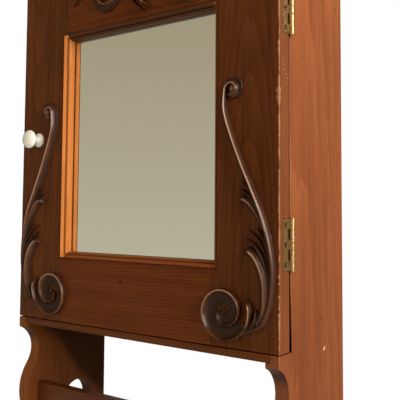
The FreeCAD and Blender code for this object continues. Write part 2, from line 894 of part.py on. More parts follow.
def all_nodes():
    """Every sub-part by name."""
    side = make_side(False)
    cove_right = make_cove_right()
    carving_right = make_carving_right()
    nodes = {
        "side_left": mirrored(side),
        "side_right": make_side(True),
        "case_top": make_case_top(),
        "case_bottom": make_case_board(bottom_under_z, bottom_upper_z, front_y),
        "top_cap": make_top_cap(),
        "cove_front": make_cove_front(),
        "cove_left": mirrored(cove_right),
        "cove_right": cove_right,
        "hanging_rail": make_hanging_rail(),
        "lower_rail": make_lower_rail(),
        "stile_lock": make_stile(False),
        "stile_hinge": make_stile(True),
        "rail_top": make_rail("top"),
        "rail_bottom": make_rail("bottom"),
        "mirror_glass": glass_rectangle(glass_front_y, glass_back_y),
        "mirror_backing": glass_rectangle(glass_back_y, backing_back_y),
        "carving_left": mirrored(carving_right),
        "carving_right": carving_right,
        "carving_top": make_carving_top(),
        "knob": make_knob(),
        "knob_bolt": make_knob_bolt(),
        "knob_washer": make_knob_washer(),
        "knob_nut": make_knob_nut(),
    }
    for k, (left, right) in enumerate(back_board_edges(), start=1):
        nodes[f"back_board_{k}"] = make_back_board(left, right)
    for name in shelf_heights:
        nodes[name] = make_shelf(name)
    for place, centre_z in hinge_centres.items():
        nodes[f"hinge_door_leaf_{place}"] = make_hinge_leaf("door", centre_z)
        nodes[f"hinge_case_leaf_{place}"] = make_hinge_leaf("case", centre_z)
        nodes[f"hinge_pin_{place}"] = make_hinge_pin(centre_z)
    for part in ("door", "case"):
        nodes[f"hinge_{part}_screws"] = Part.makeCompound(
            [screw_at(seat, way) for seat, way in hinge_screw_seats(part)]
        )
    nodes["side_nails"] = Part.makeCompound(
        [nail_at(seat, way, nail_length) for seat, way in side_nail_seats()]
    )
    nodes["back_nails"] = Part.makeCompound(
        [nail_at(seat, way, back_nail_length) for seat, way in back_nail_seats()]
    )
    nodes["backing_brads"] = Part.makeCompound(
        [cylinder(brad_radius, start, way, brad_length) for start, way in brad_seats()]
    )
    return nodes


os.makedirs("parts", exist_ok=True)
for node, shape in all_nodes().items():
    shape.exportStep(f"parts/{node}.step")
    print(node, len(shape.Solids), "solids, valid", shape.isValid(), "volume", round(shape.Volume, 1))
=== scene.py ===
import math

import bmesh
import bpy
from bpy.props import FloatProperty, FloatVectorProperty, PointerProperty
from mathutils import Matrix, Vector, noise


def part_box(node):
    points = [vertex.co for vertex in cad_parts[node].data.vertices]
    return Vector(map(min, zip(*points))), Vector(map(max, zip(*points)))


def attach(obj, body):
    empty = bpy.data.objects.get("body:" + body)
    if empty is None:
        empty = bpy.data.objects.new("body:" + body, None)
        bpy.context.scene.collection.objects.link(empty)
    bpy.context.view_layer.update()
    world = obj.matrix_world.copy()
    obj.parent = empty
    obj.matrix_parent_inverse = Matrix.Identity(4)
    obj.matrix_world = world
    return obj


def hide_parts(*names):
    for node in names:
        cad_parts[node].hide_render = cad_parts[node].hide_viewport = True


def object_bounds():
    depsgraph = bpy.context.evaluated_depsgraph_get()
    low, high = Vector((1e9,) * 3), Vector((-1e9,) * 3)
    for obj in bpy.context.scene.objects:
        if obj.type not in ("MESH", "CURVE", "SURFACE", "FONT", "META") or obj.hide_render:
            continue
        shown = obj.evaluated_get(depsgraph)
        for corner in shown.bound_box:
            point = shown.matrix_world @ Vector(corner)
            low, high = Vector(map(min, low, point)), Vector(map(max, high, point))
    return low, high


bl_info = {
    "name": "Carved Medicine Cabinet",
    "version": (1, 0, 0),
    "blender": (4, 5, 0),
    "location": "View3D > Sidebar > Cabinet",
    "description": "Builds the carved, mirrored wall cabinet round its joinery",
    "category": "Object",
}

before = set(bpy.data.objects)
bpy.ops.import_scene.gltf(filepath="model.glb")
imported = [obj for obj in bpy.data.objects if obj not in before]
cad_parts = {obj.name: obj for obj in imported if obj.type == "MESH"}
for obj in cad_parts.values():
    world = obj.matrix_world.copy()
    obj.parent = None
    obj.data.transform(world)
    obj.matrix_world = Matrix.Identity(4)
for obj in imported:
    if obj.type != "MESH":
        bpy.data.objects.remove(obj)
joinery_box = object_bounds()

MM = 0.001
MOULDING = 7.5 * MM          # breadth of the moulded edge round the glass
# The dark line at the quirk is painted shade
QUIRK_DEPTH = 5.0 * MM       # of the dark line in it, below the door's face
HOLE_SETBACK = 112.0 * MM    # pierced hole: back from the sides' front edge
HOLE_DROP = 150.5 * MM       # and down from the top of the case's bottom board
HOLE_RADIUS = 30.0 * MM
SHADE_FOOT_Z = -0.640        # where the slanting shade inside the ends starts and stops
SHADE_TOP_Z = -0.530
SHADE_FRONT = 112.0 * MM     # back from the front edge, where that shade begins
SHADE_BACK = 140.0 * MM      # and where it is deepest
BROAD_FACE = 10.0 * MM       # a face broader than this is shaded flat
SHARP_CORNER = math.radians(28)
DOOR = "door"
CASE = "case"

DOOR_BOARDS = {"stile_lock": "z", "stile_hinge": "z", "rail_top": "x", "rail_bottom": "x"}
CASE_BOARDS = {"side_left": "z", "side_right": "z", "lower_rail": "x"}
TRIM_BOARDS = {"case_top": "x", "case_bottom": "x", "top_cap": "x",
               "cove_front": "x", "cove_left": "y", "cove_right": "y"}
INNER_BOARDS = {"shelf_lower": "x", "shelf_upper": "x", "hanging_rail": "x"}
BACK_BOARDS = {"back_board_1": "z", "back_board_2": "z", "back_board_3": "z", "back_board_4": "z"}


# Where the pith of each board lies, and how far the board leans from it
DOOR_PITH = {"stile_lock": (0.205, 0.13, 0.0), "stile_hinge": (-0.200, 0.122, 0.02),
             "rail_top": (0.30, 0.215, 0.4), "rail_bottom": (0.62, 0.230, 0.7)}
DOOR_TILT = {"stile_lock": (-0.05, 0.012, 0.0), "stile_hinge": (0.062, -0.010, 0.0),
             "rail_top": (0.03, 0.02, 0.0), "rail_bottom": (-0.02, 0.04, 0.0)}

# How the colour differs from board to board, as shares of red, green and blue: the stiles and rails
# by stain, the rest by painted light and shade
STILE_TINT = (1.0, 1.0, 1.0)
RAIL_TINT = (1.28, 1.17, 1.0)
# Painted shade: the left end is darker and yellower, as the window light at the right does not
# reach it
LEFT_SIDE_SHADE_TINT = (0.84, 0.84, 0.58)
# Painted light: the hinge stile's outer edge faces the window light and is painted nearly as bright
# as the case's side
HINGE_EDGE_LIGHT_TINT = (0.73, 0.80, 0.89)
# Painted light and shade on the moulding round the glass: full on the lock stile, whose lip faces
# the window light, darker on the hinge stile and bottom rail, darkest on the top rail, whose lip
# faces down
MOULDING_LIGHT_AND_SHADE = {"stile_lock": (1.0, 1.0, 1.0), "stile_hinge": (0.42, 0.34, 0.36),
                 "rail_top": (0.15, 0.165, 0.22), "rail_bottom": (0.42, 0.34, 0.36)}

# Small dark knots or nail holes on the door's face: x, z and reach
KNOTS = {"stile_lock": (-0.2323, -0.2998, 0.0018), "rail_bottom": (-0.0187, -0.4577, 0.0034)}
# Chips along the hinge stile's front arris: distance below the top of the door, and reach
CHIPS = ((0.1775, 0.0034), (0.236, 0.0062), (0.245, 0.0056), (0.2515, 0.0040), (0.268, 0.0020),
         (0.277, 0.0022), (0.292, 0.0020), (0.310, 0.0018), (0.335, 0.0018), (0.462, 0.0028),
         (0.470, 0.0022), (0.486, 0.0028), (0.500, 0.0022), (0.508, 0.0032), (0.518, 0.0024),
         (0.535, 0.0020))
# A scratch down the hinge stile's edge: spots in it, where it starts, and how far it runs
SCRATCH_SPOTS = 5
SCRATCH_BACK, SCRATCH_DROP = 9.5 * MM, 197.5 * MM
SCRATCH_RUN_BACK, SCRATCH_RUN_DOWN = 10.2 * MM, 21.0 * MM
# Marks on the right side: y, z, reach, strength, and whether bare wood shows
DENTS = ((-0.020, -0.065, 0.0022, 0.95, False), (-0.0806, -0.502, 0.0022, 0.6, False),
         (-0.0715, -0.497, 0.0026, 0.7, False), (-0.0838, -0.5185, 0.0024, 0.7, False),
         (-0.0747, -0.512, 0.0018, 0.6, False), (-0.0627, -0.5388, 0.0026, 1.0, True),
         (-0.0605, -0.5365, 0.0018, 1.0, True), (-0.040, -0.250, 0.0010, 0.5, False),
         (-0.110, -0.560, 0.0012, 0.5, False))
FRESH_CHIP = (0.80, 0.52, 0.33)

# Lamps: place, point aimed at, size, tint, and the setting that holds the power
LAMPS = {
    "window_light": ((2.6, -0.52, 0.55), (0.0, -0.15, -0.25), (1.2, 1.9), (1.0, 0.965, 0.91),
                     "key_power"),
    "front_fill": ((0.5, -3.2, 1.2), (0.0, -0.15, -0.3), (2.2, 1.6), (1.0, 0.97, 0.93),
                   "fill_power"),
    "back_fill": ((-1.1, 2.4, 0.5), (0.0, 0.0, -0.3), (1.8, 1.8), (1.0, 0.97, 0.93),
                  "back_power"),
}
CAMERA_PLACE = (0.61214, -0.85879, -0.35692)
CAMERA_YAW, CAMERA_PITCH, CAMERA_ROLL = 0.6293, 0.0630, 0.0070
CAMERA_RISE = -0.07


# ---- What a user would change -------------------------------------------------------------------

def colour(label, default, note):
    return FloatVectorProperty(name=label, description=note, subtype="COLOR", size=3,
                               min=0.0, max=1.0, default=default)


def length(label, default, note):
    return FloatProperty(name=label, description=note, unit="LENGTH", subtype="DISTANCE",
                         min=0.0, default=default)


def factor(label, default, note):
    return FloatProperty(name=label, description=note, subtype="FACTOR",
                         min=0.0, max=1.0, default=default)


class CabinetWoods(bpy.types.PropertyGroup):
    """Stains and surface of the boards, with painted light on the moulding and the carvings'
    crests.
    """

    door_dark: colour("Door, late wood", (0.062, 0.0135, 0.0022),
                      "Stain in the dark bands of the door's boards")
    door_light: colour("Door, early wood", (0.175, 0.0470, 0.0100),
                       "Stain between the dark bands of the door's boards")
    case_dark: colour("Case, late wood", (0.194, 0.0530, 0.0172),
                      "Stain in the dark bands of the case's sides")
    case_light: colour("Case, early wood", (0.372, 0.1130, 0.0395),
                       "Stain between the dark bands of the case's sides")
    inner_dark: colour("Inside, late wood", (0.200, 0.0850, 0.0330),
                       "Dark bands of the shelves and back boards")
    inner_light: colour("Inside, early wood", (0.340, 0.1650, 0.0700),
                        "Wood between the bands of the shelves and back boards")
    # This dark tone is also the painted shade in the carvings' hollows
    carved_dark: colour("Carving, hollows", (0.034, 0.0095, 0.0026),
                        "Stain that gathered in the hollows of the carvings")
    carved_light: colour("Carving, ridges", (0.250, 0.0850, 0.0290),
                         "Stain on the ridges of the carvings")
    # The moulding's colours are painted light: as bright as its lip where the window light falls on
    # it; the tints per board darken them elsewhere
    moulding_dark: colour("Moulding, late wood", (0.480, 0.1450, 0.0300),
                          "Thin stain on the moulded edge round the glass")
    moulding_light: colour("Moulding, early wood", (0.860, 0.3000, 0.0720),
                           "Thin stain on the moulded edge round the glass")
    # A painted highlight: the carvings' crests are painted light in place of the varnish's shine
    painted_highlight: colour("Polished ridge", (0.520, 0.300, 0.200),
                     "Crests of the carvings, rubbed thin and bright")
    worn: colour("Worn edge", (0.400, 0.1800, 0.0900), "Bare wood where an edge has rubbed")
    ring_spacing: length("Growth rings", 0.0046, "Distance from one growth ring to the next")
    easing: length("Eased edges", 0.0007, "Width of the rounding on the boards' edges")
    gloss: factor("Varnish roughness", 0.34, "Roughness of the old varnish")


class CabinetCarvings(bpy.types.PropertyGroup):
    """Sizes of the applied carvings."""

    height: length("Relief", 0.0100, "How far the ridges stand out from the door")
    stem: length("Stem width", 0.0115, "Width of the long stems")
    grain_of_cut: length("Fineness", 0.0006, "Smallest detail left by the gouge")


class CabinetFittings(bpy.types.PropertyGroup):
    """Mirror, knob and metalwork."""

    silver: colour("Mirror", (0.86, 0.865, 0.84), "Colour that the mirror gives back")
    porcelain: colour("Porcelain", (0.93, 0.915, 0.86), "Glaze of the knob")
    brass: colour("Brass", (0.56, 0.38, 0.18), "Lacquered brass of the hinges")
    tarnish: colour("Tarnish", (0.24, 0.14, 0.06), "Old brass where it has darkened")
    steel: colour("Steel", (0.30, 0.29, 0.28), "Nails, brads and the knob's bolt")


class CabinetStage(bpy.types.PropertyGroup):
    """Floor, lights and camera."""

    floor_drop: length("Floor below the cabinet", 0.85,
                       "Height of the cabinet's lower end above the floor")
    floor_radius: length("Floor radius", 2.4, "Size of the round pale floor")
    key_power: FloatProperty(name="Key light", description="Power of the window light at the right",
                             unit="POWER", min=0.0, default=95.0)
    fill_power: FloatProperty(name="Fill light", description="Power of the soft light in front",
                              unit="POWER", min=0.0, default=9.0)
    back_power: FloatProperty(name="Back light",
                              description="Power of the soft light behind the cabinet",
                              unit="POWER", min=0.0, default=16.0)
    lens: FloatProperty(name="Lens", description="Focal length for a 36 mm wide sensor",
                        unit="CAMERA", min=1.0, default=57.09)


# ---- Node helpers -------------------------------------------------------------------------------

def new_material(name):
    """An empty node material with its surface shader; gives the tree and the shader."""
    material = bpy.data.materials.new(name)
    material.use_nodes = True
    tree = material.node_tree
    tree.nodes.clear()
    shader = tree.nodes.new("ShaderNodeBsdfPrincipled")
    output = tree.nodes.new("ShaderNodeOutputMaterial")
    tree.links.new(shader.outputs["BSDF"], output.inputs["Surface"])
    return material, tree, shader


def put(tree, kind, out=0, sockets=None, **settings):
    """Adds a node. Sockets are values or other nodes' outputs; gives the wanted output."""
    node = tree.nodes.new(kind)
    for key, value in settings.items():
        setattr(node, key, value)
    for key, value in (sockets or {}).items():
        socket = node.inputs[key]
        if isinstance(value, bpy.types.NodeSocket):
            tree.links.new(value, socket)
        else:
            socket.default_value = value
    return node.outputs[out]


def maths(tree, operation, *terms, clamp=False):
    return put(tree, "ShaderNodeMath", sockets=dict(enumerate(terms)),
               operation=operation, use_clamp=clamp)


def plus(tree, first, second):
    return maths(tree, "ADD", first, second)


def minus(tree, first, second):
    return maths(tree, "SUBTRACT", first, second)


def times(tree, first, second):
    return maths(tree, "MULTIPLY", first, second)


def shaded(tone, share):
    """A colour darkened evenly."""
    return tuple(c * share for c in tone)


def tinted(tone, shares):
    """A colour with each of its channels scaled."""
    return tuple(c * s for c, s in zip(tone, shares))


def spread(tree, value, low, high, to_low=0.0, to_high=1.0, smooth=True):
    """Maps low..high to to_low..to_high and holds it there beyond both ends."""
    return put(tree, "ShaderNodeMapRange",
               interpolation_type="SMOOTHSTEP" if smooth else "LINEAR",
               sockets={"Value": value, "From Min": low, "From Max": high,
                        "To Min": to_low, "To Max": to_high})


def blend_colours(tree, share, first, second, kind="MIX"):
    node = tree.nodes.new("ShaderNodeMix")
    node.data_type = "RGBA"
    node.blend_type = kind
    for index, value in ((0, share), (6, first), (7, second)):
        socket = node.inputs[index]
        if isinstance(value, bpy.types.NodeSocket):
            tree.links.new(value, socket)
        elif socket.type == "RGBA":
            socket.default_value = (*value, 1.0)
        else:
            socket.default_value = value
    return node.outputs[2]


def place(tree):
    """Position in the frame, which stays with the piece when its body moves."""
    return put(tree, "ShaderNodeTexCoord", out="Object")


def stretched(tree, vector, scale, shift=(0.0, 0.0, 0.0), turn=(0.0, 0.0, 0.0)):
    return put(tree, "ShaderNodeMapping",
               sockets={"Vector": vector, "Scale": scale, "Location": shift, "Rotation": turn})


def speckle(tree, vector, scale=1.0, detail=2.0, roughness=0.5):
    return put(tree, "ShaderNodeTexNoise",
               sockets={"Vector": vector, "Scale": scale, "Detail": detail, "Roughness": roughness})


def axes(tree, vector):
    """The x, y and z of a vector."""
    parts = tree.nodes.new("ShaderNodeSeparateXYZ")
    tree.links.new(vector, parts.inputs[0])
    return parts.outputs


def true_normal(tree):
    return axes(tree, put(tree, "ShaderNodeNewGeometry", out="True Normal"))


def wander(tree, ragged, reach):
    """Moves a border back and forth by half of reach, as the noise goes."""
    return times(tree, minus(tree, ragged, 0.5), reach)


def bumped(tree, shader, height, strength, distance):
    bump = put(tree, "ShaderNodeBump",
               sockets={"Height": height, "Strength": strength, "Distance": distance})
    tree.links.new(bump, shader.inputs["Normal"])


def distance_to(tree, vector, **where):
    """Distance from the lines or points given by some of x, y and z."""
    parts = axes(tree, vector)
    total = None
    for axis, at in where.items():
        square = maths(tree, "POWER", minus(tree, parts["xyz".index(axis)], at), 2.0)
        total = square if total is None else plus(tree, total, square)
    return maths(tree, "SQRT", total)


# ---- Materials ----------------------------------------------------------------------------------

GRAIN_TURN = {"x": (0.0, math.radians(90), 0.0), "y": (math.radians(90), 0.0, 0.0),
              "z": (0.0, 0.0, 0.0)}


def grained(tree, at, grain, pith, tilt, ring):
    """Growth rings, fibres, streaks, pores and clouds of a board, each from 0 to 1."""
    along = stretched(tree, at, (1, 1, 1), turn=GRAIN_TURN[grain])
    tilted = stretched(tree, along, (1, 1, 1), shift=pith, turn=tilt)
    rings = put(tree, "ShaderNodeTexWave", out="Fac",
                wave_type="RINGS", rings_direction="Z", wave_profile="SAW",
                sockets={"Vector": stretched(tree, tilted, (1, 1, 0.10)),
                         "Scale": math.pi / 10 / ring, "Distortion": 4.5, "Detail": 4.0,
                         "Detail Scale": 0.30, "Detail Roughness": 0.62})

    def drawn_out(scale, detail, roughness=0.5):
        return speckle(tree, stretched(tree, along, scale, shift=pith),
                       detail=detail, roughness=roughness)

    fibres = drawn_out((1050, 1050, 16), 3.0, 0.62)
    streaks = drawn_out((150, 150, 2.6), 2.0)
    pores = spread(tree, drawn_out((1500, 1500, 85), 1.0), 0.60, 0.72)
    clouds = drawn_out((13, 13, 5), 3.0, 0.6)
    return rings, fibres, streaks, pores, clouds


def inner_shade(tree, at, clouds, reach_x, deep_y, front_y):
    """Slanting shade on the inner face of an end, below the case."""
    x, y, z = axes(tree, at)
    inside = spread(tree, maths(tree, "ABSOLUTE", x), reach_x + 0.0012, reach_x + 0.0002)
    reached = plus(tree, plus(tree, y, minus(tree, z, SHADE_FOOT_Z)), wander(tree, clouds, 0.05))
    back = spread(tree, reached, front_y, deep_y, 0.40, 0.90)
    below = spread(tree, z, SHADE_TOP_Z, SHADE_TOP_Z - 0.004)
    return times(tree, inside, times(tree, back, below))


def pierced_shade(tree, at, hole_y, hole_z, hole_radius):
    """Share of painted shade: 1 inside the pierced hole and on faces that look down."""
    in_hole = spread(tree, distance_to(tree, at, y=hole_y, z=hole_z),
                     hole_radius + 0.0012, hole_radius + 0.0003)
    under = spread(tree, true_normal(tree)[2], -0.15, -0.65)
    return maths(tree, "MAXIMUM", in_hole, under)


def spot(tree, at, where, ragged, reach, uneven, heart, strength):
    """Share of a mark whose border follows the noise; it is fullest within heart of its reach."""
    reached = plus(tree, distance_to(tree, at, **where), wander(tree, ragged, reach * uneven))
    return spread(tree, reached, reach, reach * heart, 0.0, strength)


def wood(name, dark, light, grain, pith, tilt=(0.0, 0.0, 0.0), roughness=0.34,
         rub=(), wear_and_highlight_colour=(0.5, 0.25, 0.12), contrast=1.0, marks=(), ring=0.0034,
         hollow=None, moulded=None, shut_away=None, sheen=0.35, painted_light_on_edge=None,
         inner_dark=None, darker_downwards=None, pierced=None, grain_relief=0.32):
    """Stained and varnished board. Its growth rings run round a pith line, along the grain."""
    material, tree, shader = new_material(name)
    at = place(tree)
    rings, fibres, streaks, pores, clouds = grained(tree, at, grain, pith, tilt, ring)

    tone = plus(tree, times(tree, rings, 0.40 * contrast), times(tree, streaks, 0.62))
    tone = plus(tree, tone, times(tree, fibres, 0.30))
    tone = plus(tree, tone, times(tree, clouds, 0.75))
    tone = spread(tree, tone, 0.62, 1.42, smooth=False)
    stain = blend_colours(tree, tone, dark, light)
    stain = blend_colours(tree, times(tree, pores, 0.42), stain, shaded(dark, 0.30))
    if painted_light_on_edge:
        # Painted light on the hinge stile's outer edge face, which faces the window light
        outer_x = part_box("stile_hinge")[1].x
        share = spread(tree, axes(tree, at)[0], outer_x - 0.0008, outer_x - 0.0003, 0.0, 0.92)
        stain = blend_colours(tree, share, stain, blend_colours(tree, tone, *painted_light_on_edge))
    if inner_dark:
        # Painted shade: a slanting shadow on the inner face of each end, below the case
        share = inner_shade(tree, at, clouds, *inner_dark)
        stain = blend_colours(tree, share, stain, shaded(dark, 0.14))
    if moulded:
        shade_beside_moulding, on_edge, shade_lines = moulded_shares(tree, at)
        # Painted shade on the door's face beside the moulding
        stain = blend_colours(tree, shade_beside_moulding, stain, shaded(dark, 0.45))
        # Painted light and shade on the moulding itself
        stain = blend_colours(tree, on_edge, stain, blend_colours(tree, tone, *moulded))
        # Dark lines of painted shade in the quirk and by the glass
        stain = blend_colours(tree, shade_lines, stain, shaded(moulded[0], 0.40))
    if darker_downwards:
        # The right side is darker towards the bottom
        share = spread(tree, axes(tree, at)[2], *darker_downwards, 0.0, 0.48)
        stain = blend_colours(tree, share, stain, shaded(dark, 0.75))
    if pierced:
        # Painted shade inside the pierced hole and under faces that look down
        share = times(tree, pierced_shade(tree, at, *pierced), 0.86)
        stain = blend_colours(tree, share, stain, shaded(dark, 0.22))
    if shut_away is not None:
        # Painted shade on the front edge that the closed door keeps from the light
        stain = blend_colours(tree, shut_share(tree, at, shut_away), stain, shaded(dark, 0.06))
    for where, reach, strength, tint in marks:
        ragged = speckle(tree, stretched(tree, at, (600, 600, 600), shift=pith), detail=2.0)
        share = spot(tree, at, where, ragged, reach, 0.8, 0.35, strength)
        stain = blend_colours(tree, share, stain, tint)
    for where, reach, strength in rub:
        ragged = speckle(tree, stretched(tree, at, (160, 160, 55), shift=pith),
                         detail=4.0, roughness=0.65)
        share = spot(tree, at, where, ragged, reach, 5.0, 0.2, strength)
        stain = blend_colours(tree, share, stain, wear_and_highlight_colour)
    if hollow:
        face_y, gathered = hollow
        y = axes(tree, at)[1]
        # The lower parts of a carving darken: stain gathered there, with painted shade
        low = spread(tree, y, face_y - 0.0086, face_y - 0.0026, 0.0, gathered)
        stain = blend_colours(tree, low, stain, shaded(dark, 0.80))
        # Painted highlight on the crests of a carving
        crest = spread(tree, y, face_y - 0.0080, face_y - 0.0092, 0.0, 0.66)
        stain = blend_colours(tree, crest, stain, wear_and_highlight_colour)
        # Occlusion darkens the recesses further: painted shade
        shut = put(tree, "ShaderNodeAmbientOcclusion", out="AO", samples=6, only_local=True,
                   sockets={"Distance": 0.009})
        share = spread(tree, shut, 0.90, 0.40, 0.0, 0.92)
        stain = blend_colours(tree, share, stain, shaded(dark, 0.5))
    tree.links.new(stain, shader.inputs["Base Color"])

    dull = plus(tree, times(tree, clouds, 0.20), times(tree, fibres, 0.16))
    if hollow:
        dull = plus(tree, dull, times(tree, low, 0.34))
    tree.links.new(plus(tree, dull, roughness - 0.18), shader.inputs["Roughness"])
    relief = minus(tree, times(tree, fibres, 0.5), times(tree, pores, 0.8))
    relief = plus(tree, relief, times(tree, rings, 0.35))
    bumped(tree, shader, relief, grain_relief, 0.0003)
    shader.inputs["Specular IOR Level"].default_value = sheen
    return material


def inset_from_opening(tree, at):
    """Distance in from the nearest edge of the door's opening, below 0 outside it."""
    x, _, z = axes(tree, at)
    sight = sight_opening()
    inset = None
    for value, edge, sign in ((x, sight["left"], 1), (x, sight["right"], -1),
                              (z, sight["bottom"], 1), (z, sight["top"], -1)):
        away = times(tree, minus(tree, value, edge), sign)
        inset = away if inset is None else maths(tree, "MINIMUM", inset, away)
    return inset


def moulded_shares(tree, at):
    """How much a point is in the painted shade on the face by the moulded edge, on the edge, and in
    its dark lines of painted shade.
    """
    face_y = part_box("rail_bottom")[0].y
    glass_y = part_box("mirror_glass")[0].y
    y = axes(tree, at)[1]
    inset = inset_from_opening(tree, at)
    below = minus(tree, y, face_y)
    within = spread(tree, inset, -MOULDING - 0.0004, -MOULDING)
    edge = times(tree, within, spread(tree, below, 0.0001, 0.0005))
    shade_border_noise = speckle(tree, stretched(tree, at, (120, 120, 60)), detail=3.0)
    reach = plus(tree, inset, wander(tree, shade_border_noise, 0.006))
    face = spread(tree, reach, -MOULDING - 0.0055, -MOULDING, 0.0, 0.75)
    from_quirk = maths(tree, "ABSOLUTE", minus(tree, below, QUIRK_DEPTH))
    quirk = times(tree, spread(tree, from_quirk, 0.0018, 0.0012), 0.85)
    at_glass = spread(tree, y, glass_y - 0.0026, glass_y - 0.0014, 0.0, 0.95)
    lines = times(tree, edge, maths(tree, "MAXIMUM", quirk, at_glass))
    return face, edge, lines


def shut_share(tree, at, below_z):
    """1 on the front edge below a height while the closed door keeps the light from it."""
    lower = spread(tree, axes(tree, at)[2], below_z + 0.004, below_z)
    front = spread(tree, true_normal(tree)[1], -0.5, -0.8)
    opened = put(tree, "ShaderNodeAmbientOcclusion", out="AO", samples=8,
                 sockets={"Distance": 0.030})
    return times(tree, times(tree, front, lower), spread(tree, opened, 0.86, 0.62))


def mirror_material(fittings):
    """Silvered glass, a little smeared, darker where the silver has gone at the edges."""
    material, tree, shader = new_material("silvered_glass")
    at = place(tree)
    ragged = speckle(tree, stretched(tree, at, (260, 260, 260)), detail=3.0)
    reached = plus(tree, inset_from_opening(tree, at), times(tree, ragged, -0.0014))
    edge = spread(tree, reached, -0.0010, 0.0002)
    tree.links.new(blend_colours(tree, edge, (0.16, 0.12, 0.08), tuple(fittings.silver)),
                   shader.inputs["Base Color"])
    smears = speckle(tree, stretched(tree, at, (9, 9, 22)), detail=4.0, roughness=0.6)
    tree.links.new(spread(tree, smears, 0.35, 0.80, 0.012, 0.055), shader.inputs["Roughness"])
    shader.inputs["Metallic"].default_value = 1.0
    return material


def backing_material():
    material, tree, shader = new_material("grey_backing_card")
    at = place(tree)
    flecks = speckle(tree, stretched(tree, at, (900, 900, 900)), detail=3.0)
    clouds = speckle(tree, stretched(tree, at, (14, 14, 14)), detail=3.0)
    share = plus(tree, times(tree, flecks, 0.5), times(tree, clouds, 0.6))
    card = blend_colours(tree, share, (0.14, 0.10, 0.065), (0.33, 0.26, 0.18))
    tree.links.new(card, shader.inputs["Base Color"])
    bumped(tree, shader, flecks, 0.3, 0.0002)
    shader.inputs["Roughness"].default_value = 0.85
    return material


def porcelain_material(fittings):
    material, tree, shader = new_material("glazed_porcelain")
    at = place(tree)
    clouds = speckle(tree, stretched(tree, at, (120, 120, 120)), detail=3.0)
    crackle = put(tree, "ShaderNodeTexVoronoi", out="Distance", feature="DISTANCE_TO_EDGE",
                  sockets={"Vector": stretched(tree, at, (330, 330, 330))})
    glaze = blend_colours(tree, spread(tree, clouds, 0.35, 0.7), tuple(fittings.porcelain),
                          tinted(fittings.porcelain, (0.97, 0.95, 0.90)))
    lines = spread(tree, crackle, 0.035, 0.0, 0.0, 0.22)
    glaze = blend_colours(tree, lines, glaze, (0.50, 0.42, 0.30))
    tree.links.new(glaze, shader.inputs["Base Color"])
    tree.links.new(spread(tree, clouds, 0.3, 0.7, 0.10, 0.17), shader.inputs["Roughness"])
    shader.inputs["Coat Weight"].default_value = 0.6
    shader.inputs["Coat Roughness"].default_value = 0.06
    shader.inputs["Subsurface Weight"].default_value = 0.08
    shader.inputs["Subsurface Radius"].default_value = (0.004, 0.003, 0.002)
    return material


def metal(name, bright, dull, roughness, scale=260.0):
    """Old metal: bright where hands rub it, dull in patches, with fine scratches."""
    material, tree, shader = new_material(name)
    at = place(tree)
    patches = speckle(tree, stretched(tree, at, (scale, scale, scale)), detail=4.0, roughness=0.65)
    scratches = speckle(tree, stretched(tree, at, (2600, 2600, 130)), detail=1.0)
    share = spread(tree, patches, 0.42, 0.66)
    shut = put(tree, "ShaderNodeAmbientOcclusion", out="AO", samples=6,
               sockets={"Distance": 0.0032})
    surface = blend_colours(tree, share, tuple(bright), tuple(dull))
    # Recesses found by occlusion darken: tarnish, with painted shade in the slits and round the
    # screws
    crevice_darkening = spread(tree, shut, 0.80, 0.40, 0.0, 0.92)
    surface = blend_colours(tree, crevice_darkening, surface, shaded(dull, 0.15))
    tree.links.new(surface, shader.inputs["Base Color"])
    tree.links.new(plus(tree, times(tree, share, 0.22), roughness), shader.inputs["Roughness"])
    bumped(tree, shader, plus(tree, scratches, patches), 0.25, 0.0001)
    shader.inputs["Metallic"].default_value = 1.0
    return material


# ---- Places read from the joinery ---------------------------------------------------------------

def sight_opening():
    """Edges of the door's opening, at the joint lines of its stiles and rails."""
    stile_l, stile_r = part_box("stile_lock"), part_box("stile_hinge")
    top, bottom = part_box("rail_top"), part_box("rail_bottom")
    return {"left": stile_l[1].x, "right": stile_r[0].x, "bottom": bottom[1].z, "top": top[0].z}


def assign(obj, material):
    obj.data.materials.clear()
    obj.data.materials.append(material)


def finish_node(node, material):
    """Gives a carried-over part of the joinery its material."""
    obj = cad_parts[node]
    if obj.material_slots:
        for holder in obj.material_slots:
            holder.link = "OBJECT"
            holder.material = material
    else:
        obj.data.materials.append(material)


def show(name, mesh, material, body, nodes, smooth_below=25.0, flat_above=math.inf):
    """Adds a piece to the scene, riding on its body and standing for the given nodes.

    Faces broader than flat_above are shaded flat, the others smooth up to the given angle.
    """
    mesh.name = name
    mesh.shade_smooth()
    mesh.set_sharp_from_angle(angle=math.radians(smooth_below))
    for face in mesh.polygons:
        corners = [mesh.vertices[i].co for i in face.vertices]
        span = max((corner - corners[0]).length for corner in corners)
        face.use_smooth = face.area < flat_above * span
    obj = bpy.data.objects.new(name, mesh)
    bpy.context.scene.collection.objects.link(obj)
    assign(obj, material)
    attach(obj, body)
    if nodes:
        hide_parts(*nodes)
    return obj


